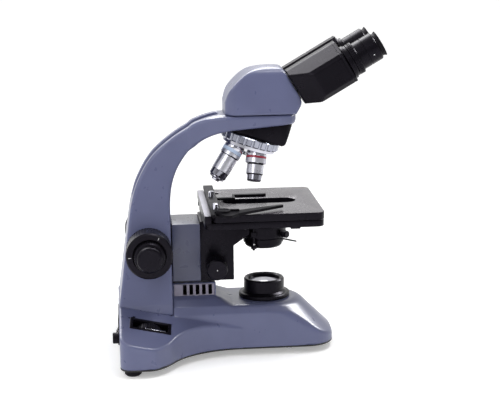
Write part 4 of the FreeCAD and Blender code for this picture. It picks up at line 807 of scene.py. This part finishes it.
def lathe(name, body, profile, at, way, looks, segments=96):
    """A turned piece. Each profile point is (radius, distance, look of the band that starts there)."""
    mesh = bpy.data.meshes.new(name)
    verts, faces, picks = [], [], []
    for r, q, _ in profile:
        for s in range(segments):
            a = 2 * math.pi * s / segments
            verts.append((r * math.cos(a) * MM, r * math.sin(a) * MM, q * MM))
    for row in range(len(profile)):
        following = (row + 1) % len(profile)
        for s in range(segments):
            t = (s + 1) % segments
            here, there = row * segments, following * segments
            faces.append((here + s, here + t, there + t, there + s))
            picks.append(profile[row][2])
    mesh.from_pydata(verts, [], faces)
    for look in looks:
        mesh.materials.append(look)
    mesh.polygons.foreach_set("material_index", picks)
    spin = Vector((0, 0, 1)).rotation_difference(Vector(way)).to_matrix().to_4x4()
    mesh.transform(Matrix.Translation(Vector(at) * MM) @ spin)
    mesh.shade_smooth()
    work = bmesh.new()
    work.from_mesh(mesh)
    bmesh.ops.remove_doubles(work, verts=work.verts, dist=1e-7)
    bmesh.ops.recalc_face_normals(work, faces=work.faces)
    for edge in work.edges:
        if len(edge.link_faces) == 2 and edge.calc_face_angle(0.0) > CREASE:
            edge.smooth = False
    work.to_mesh(mesh)
    work.free()
    piece = add_object(name, mesh)
    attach(piece, body)
    return piece


TURRET_AXIS = Vector((-math.sin(LEAN), 0, -math.cos(LEAN)))
TURRET_FRONT = Vector((math.cos(LEAN), 0, -math.sin(LEAN)))
TURRET_SIDE = TURRET_AXIS.cross(TURRET_FRONT)
APEX = Vector((OPTICAL, 0, APEX_HIGH))


def objective_axis(degrees):
    """The way a socket points, from its turn about the nosepiece's axis."""
    turn = math.radians(degrees)
    outward = TURRET_FRONT * math.cos(turn) + TURRET_SIDE * math.sin(turn)
    return TURRET_AXIS * math.cos(LEAN) + outward * math.sin(LEAN)


# The last number of a profile point is the place in this list.
METALS = (CHROME, SATIN_BARREL, DARK_CHROME, BLACK_ENAMEL, RED_PAINT, BLUE_PAINT, GLASS)
low_power = lathe(
    "low_power_barrel",
    "nosepiece",
    [
        (7.0, 57, 3), (10.1, 57, 0), (10.1, 60, 0), (11.5, 60, 0),
        (11.9, 60.5, 0), (11.9, 62.6, 0), (11.7, 62.9, 4),
        (11.7, 65.1, 0), (11.9, 65.4, 1), (11.9, 70.6, 0), (11.5, 71.2, 0),
        (9.3, 71.6, 3), (9.3, 72.6, 3), (9.8, 72.8, 1),
        (9.8, 82.8, 0), (9.5, 83.2, 3), (9.0, 83.3, 3), (9.0, 84.1, 3),
        (8.6, 84.3, 2), (8.3, 89.9, 2), (7.0, 91.5, 2),
        (5.0, 91.5, 3), (5.0, 90.4, 6), (0.01, 90.2, 3), (0.01, 83.0, 3),
    ],
    APEX,
    objective_axis(58),
    METALS,
)
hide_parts("low_power_objective")
high_power = lathe(
    "high_power_barrel",
    "nosepiece",
    [
        (6.5, 57, 3), (10.1, 57, 0), (10.1, 60, 0), (11.5, 60, 0),
        (11.9, 60.5, 0), (11.9, 63.2, 0), (11.7, 63.6, 5),
        (11.7, 67.6, 0), (11.9, 67.9, 1), (11.9, 71.3, 0), (11.5, 71.9, 3),
        (10.4, 72.1, 3), (10.4, 72.6, 3), (10.7, 72.8, 1),
        (10.7, 91.6, 0), (10.4, 92.0, 3), (10.2, 92.4, 2), (10.2, 98.2, 2),
        (9.9, 98.7, 2), (8.8, 99.8, 2), (8.8, 101.0, 2),
        (8.4, 101.3, 2), (5.2, 102.2, 0), (4.4, 103.8, 0), (3.6, 104.2, 0),
        (1.6, 104.2, 6), (1.6, 103.6, 6), (0.01, 103.5, 3),
        (0.01, 95.0, 3),
    ],
    APEX,
    objective_axis(148),
    METALS,
)
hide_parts("high_power_objective")

# The soft rubber cups, each turned as one ring with a flared lip.
for hand, side in (("left", -1), ("right", 1)):
    cup = lathe(
        f"{hand}_rubber_cup",
        f"{hand}_tube",
        [
            (11.0, 103.0, 0), (13.4, 103.0, 0), (13.7, 103.4, 0),
            (13.7, 104.6, 0), (13.9, 105.6, 0), (14.4, 106.6, 0),
            (15.0, 107.4, 0), (15.1, 107.7, 0), (14.9, 108.0, 0),
            (14.4, 108.1, 0), (13.4, 107.8, 0), (12.4, 107.1, 0),
            (11.6, 106.2, 0), (11.1, 105.0, 0),
        ],
        HINGE - RISE * EYE_DROP + Vector((0, side * EYE_SIDE, 0)),
        WAY,
        (RUBBER,),
    )
    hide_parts(f"{hand}_eyecup")


def block(name, body, size, place, look, slot, bevel=0.1):
    """A small bar with rounded edges, made about the origin and moved to its place."""
    work = bmesh.new()
    bmesh.ops.create_cube(work, size=1.0)
    bmesh.ops.scale(work, vec=Vector(size) * MM, verts=work.verts)
    bmesh.ops.bevel(work, geom=work.edges[:], offset=bevel * MM, segments=2, affect="EDGES", profile=0.5)
    mesh = bpy.data.meshes.new(name)
    work.to_mesh(mesh)
    work.free()
    mesh.transform(place)
    mesh.materials.append(look)
    mesh.shade_smooth()
    piece = add_object(name, mesh)
    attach(piece, body)


FOCUS = Vector((-114, 0, 128))
KNOB_FACE = 72.0
MARK_REACH = 22.2
for number, degrees in enumerate((62, 183)):
    turn = math.radians(degrees)
    spot = FOCUS + Vector((MARK_REACH * math.cos(turn), -KNOB_FACE, MARK_REACH * math.sin(turn)))
    place = Matrix.Translation(spot * MM) @ Matrix.Rotation(-turn, 4, "Y")
    block(f"coarse_mark_{number}", "coarse_drive", (3.0, 0.2, 0.5), place, WHITE_PAINT, "black_plastic", 0.06)
set_screw = HINGE - RISE * 18.9 + WAY * 94.4 + Vector((0, -46.5, 0))
for name, body, at, way, radius in (
    ("condenser_knob_mark", "condenser_drive", (-38, -56.0, 105), (0, -1, 0), 0.6),
    ("condenser_mark", "condenser", (6.4, -27.3, 126.6), (-0.3, -0.95, 0), 0.9),
    ("eyepiece_set_screw", "left_tube", tuple(set_screw), (0, -1, 0), 0.75),
):
    button = [(0.01, 0.0, 0), (radius, 0.0, 0), (radius, 0.12, 0), (0.01, 0.16, 0)]
    lathe(name, body, button, at, way, (WHITE_PAINT,), 24)

# A chrome strip in the dimmer wheel's window that stands in for a bright line there: a painted highlight
strip_place = Matrix.Translation((DIMMER + ROOF_DOWN * 5.2 - ROOF_NORMAL * 0.6 + ROOF_ALONG * 6.0) * MM)
strip_turn = Matrix((ROOF_ALONG, -ROOF_DOWN, ROOF_NORMAL)).transposed().to_4x4()
block("dimmer_highlight_strip", "frame", (23.0, 1.9, 1.6), strip_place @ strip_turn, CHROME, "chrome", 0.3)

FACES_UP = 0.9      # least Z of the normal of a face that looks up

# The rail's divisions are on its upper face; its ends and sides are painted.
rail = bpy.data.objects["stage_scale_rail_soft"]
rail.data.materials.append(STAGE_BLACK)
for face in rail.data.polygons:
    if face.normal.z < FACES_UP:
        face.material_index = 1

# The upper face of the stage is ground and polished, and its lighter, lilac colour is a painted reflection of the
# bright backdrop.
stage = bpy.data.objects["stage_plate_soft"]
stage.data.materials.append(STAGE_TOP_PAINTED_REFLECTION)
for face in stage.data.polygons:
    if face.normal.z > FACES_UP:
        face.material_index = 1

# ------------------------------------------------------------------ floor, light and camera


WHITE = (1.0, 1.0, 1.0, 1.0)


def plane(name, size, at, colour, glow):
    """A flat sheet that also gives off a little light of its own, for a paper-white floor."""
    mesh = bpy.data.meshes.new(name)
    h = size / 2
    mesh.from_pydata([(-h, -h, 0), (h, -h, 0), (h, h, 0), (-h, h, 0)], [], [(0, 1, 2, 3)])
    item = add_object(name, mesh)
    item.location = at
    look = shader(name + "_look", colour, 0.8, specular=0.1)
    principled = look.node_tree.nodes["Principled BSDF"]
    principled.inputs["Emission Color"].default_value = WHITE
    principled.inputs["Emission Strength"].default_value = glow
    mesh.materials.append(look)


plane("floor", 14.0, (0, 0, -0.0002), (0.92, 0.92, 0.92), 0.32)

# A white sky that is brighter on the side where Y - 0.55 X is greater.
world = bpy.data.worlds.new("studio")
bpy.context.scene.world = world
world.use_nodes = True
sky = world.node_tree
split = sky.nodes.new("ShaderNodeSeparateXYZ")
link(sky, sky.nodes.new("ShaderNodeTexCoord").outputs["Generated"], split.inputs["Vector"])
aside = sky.nodes.new("ShaderNodeMath")
aside.operation = "MULTIPLY_ADD"
aside.inputs[1].default_value = -0.55
link(sky, split.outputs["X"], aside.inputs[0])
link(sky, split.outputs["Y"], aside.inputs[2])
link(sky, remap(sky, aside.outputs[0], 0.40, 1.05, -0.6, 0.45), sky.nodes["Background"].inputs["Strength"])
sky.nodes["Background"].inputs["Color"].default_value = WHITE


def area(name, at, target, size, power, glossy_only=False):
    """A rectangular light, its power in watts, that faces the target. A glossy-only one gives highlights alone."""
    data = bpy.data.lights.new(name, "AREA")
    data.shape = "RECTANGLE"
    data.size, data.size_y = size
    data.energy = power
    item = add_object(name, data)
    item.location = at
    item.rotation_euler = (Vector(target) - Vector(at)).to_track_quat("-Z", "Y").to_euler()
    item.visible_diffuse = not glossy_only


area("key", (-0.8, -1.3, 1.0), (0, 0, 0.15), (0.8, 0.8), 7.0)
area("overhead", (0.35, -0.25, 1.6), (0, 0, 0.1), (0.7, 0.5), 9.0)
area("top_strip", (0.62, 0.10, 1.45), (0, 0, 0.1), (0.16, 0.5), 9.0, True)
area("right_strip", (1.20, 0.42, 1.10), (0, 0, 0.1), (0.34, 0.8), 40.0, True)
area("back_panel", (-0.45, 1.15, 1.55), (0, 0, 0.25), (1.9, 1.0), 54.0, True)

AZIMUTH, ELEVATION, ROLL = math.radians(-5.3), math.radians(12.0), math.radians(0.8)
FOCAL, IMAGE_WIDTH = 1384.0, 500.0      # pixels
SENSOR = 36.0                           # millimetres
DISTANCE = 1.6
AIM = Vector((0.005, 0, 0.173))
level = math.cos(ELEVATION)
forward = Vector((-math.sin(AZIMUTH) * level, math.cos(AZIMUTH) * level, -math.sin(ELEVATION)))
rightward = Vector((math.cos(AZIMUTH), math.sin(AZIMUTH), 0))
upward = rightward.cross(forward)
camera_right = rightward * math.cos(ROLL) - upward * math.sin(ROLL)
camera_up = upward * math.cos(ROLL) + rightward * math.sin(ROLL)
data = bpy.data.cameras.new("camera")
data.sensor_width = SENSOR
data.lens = SENSOR * FOCAL / IMAGE_WIDTH
camera = add_object("camera", data)
turn = Matrix((camera_right, camera_up, -forward)).transposed().to_4x4()
camera.matrix_world = Matrix.Translation(AIM - forward * DISTANCE) @ turn
bpy.context.scene.camera = camera
bpy.context.scene.view_settings.view_transform = "Standard"
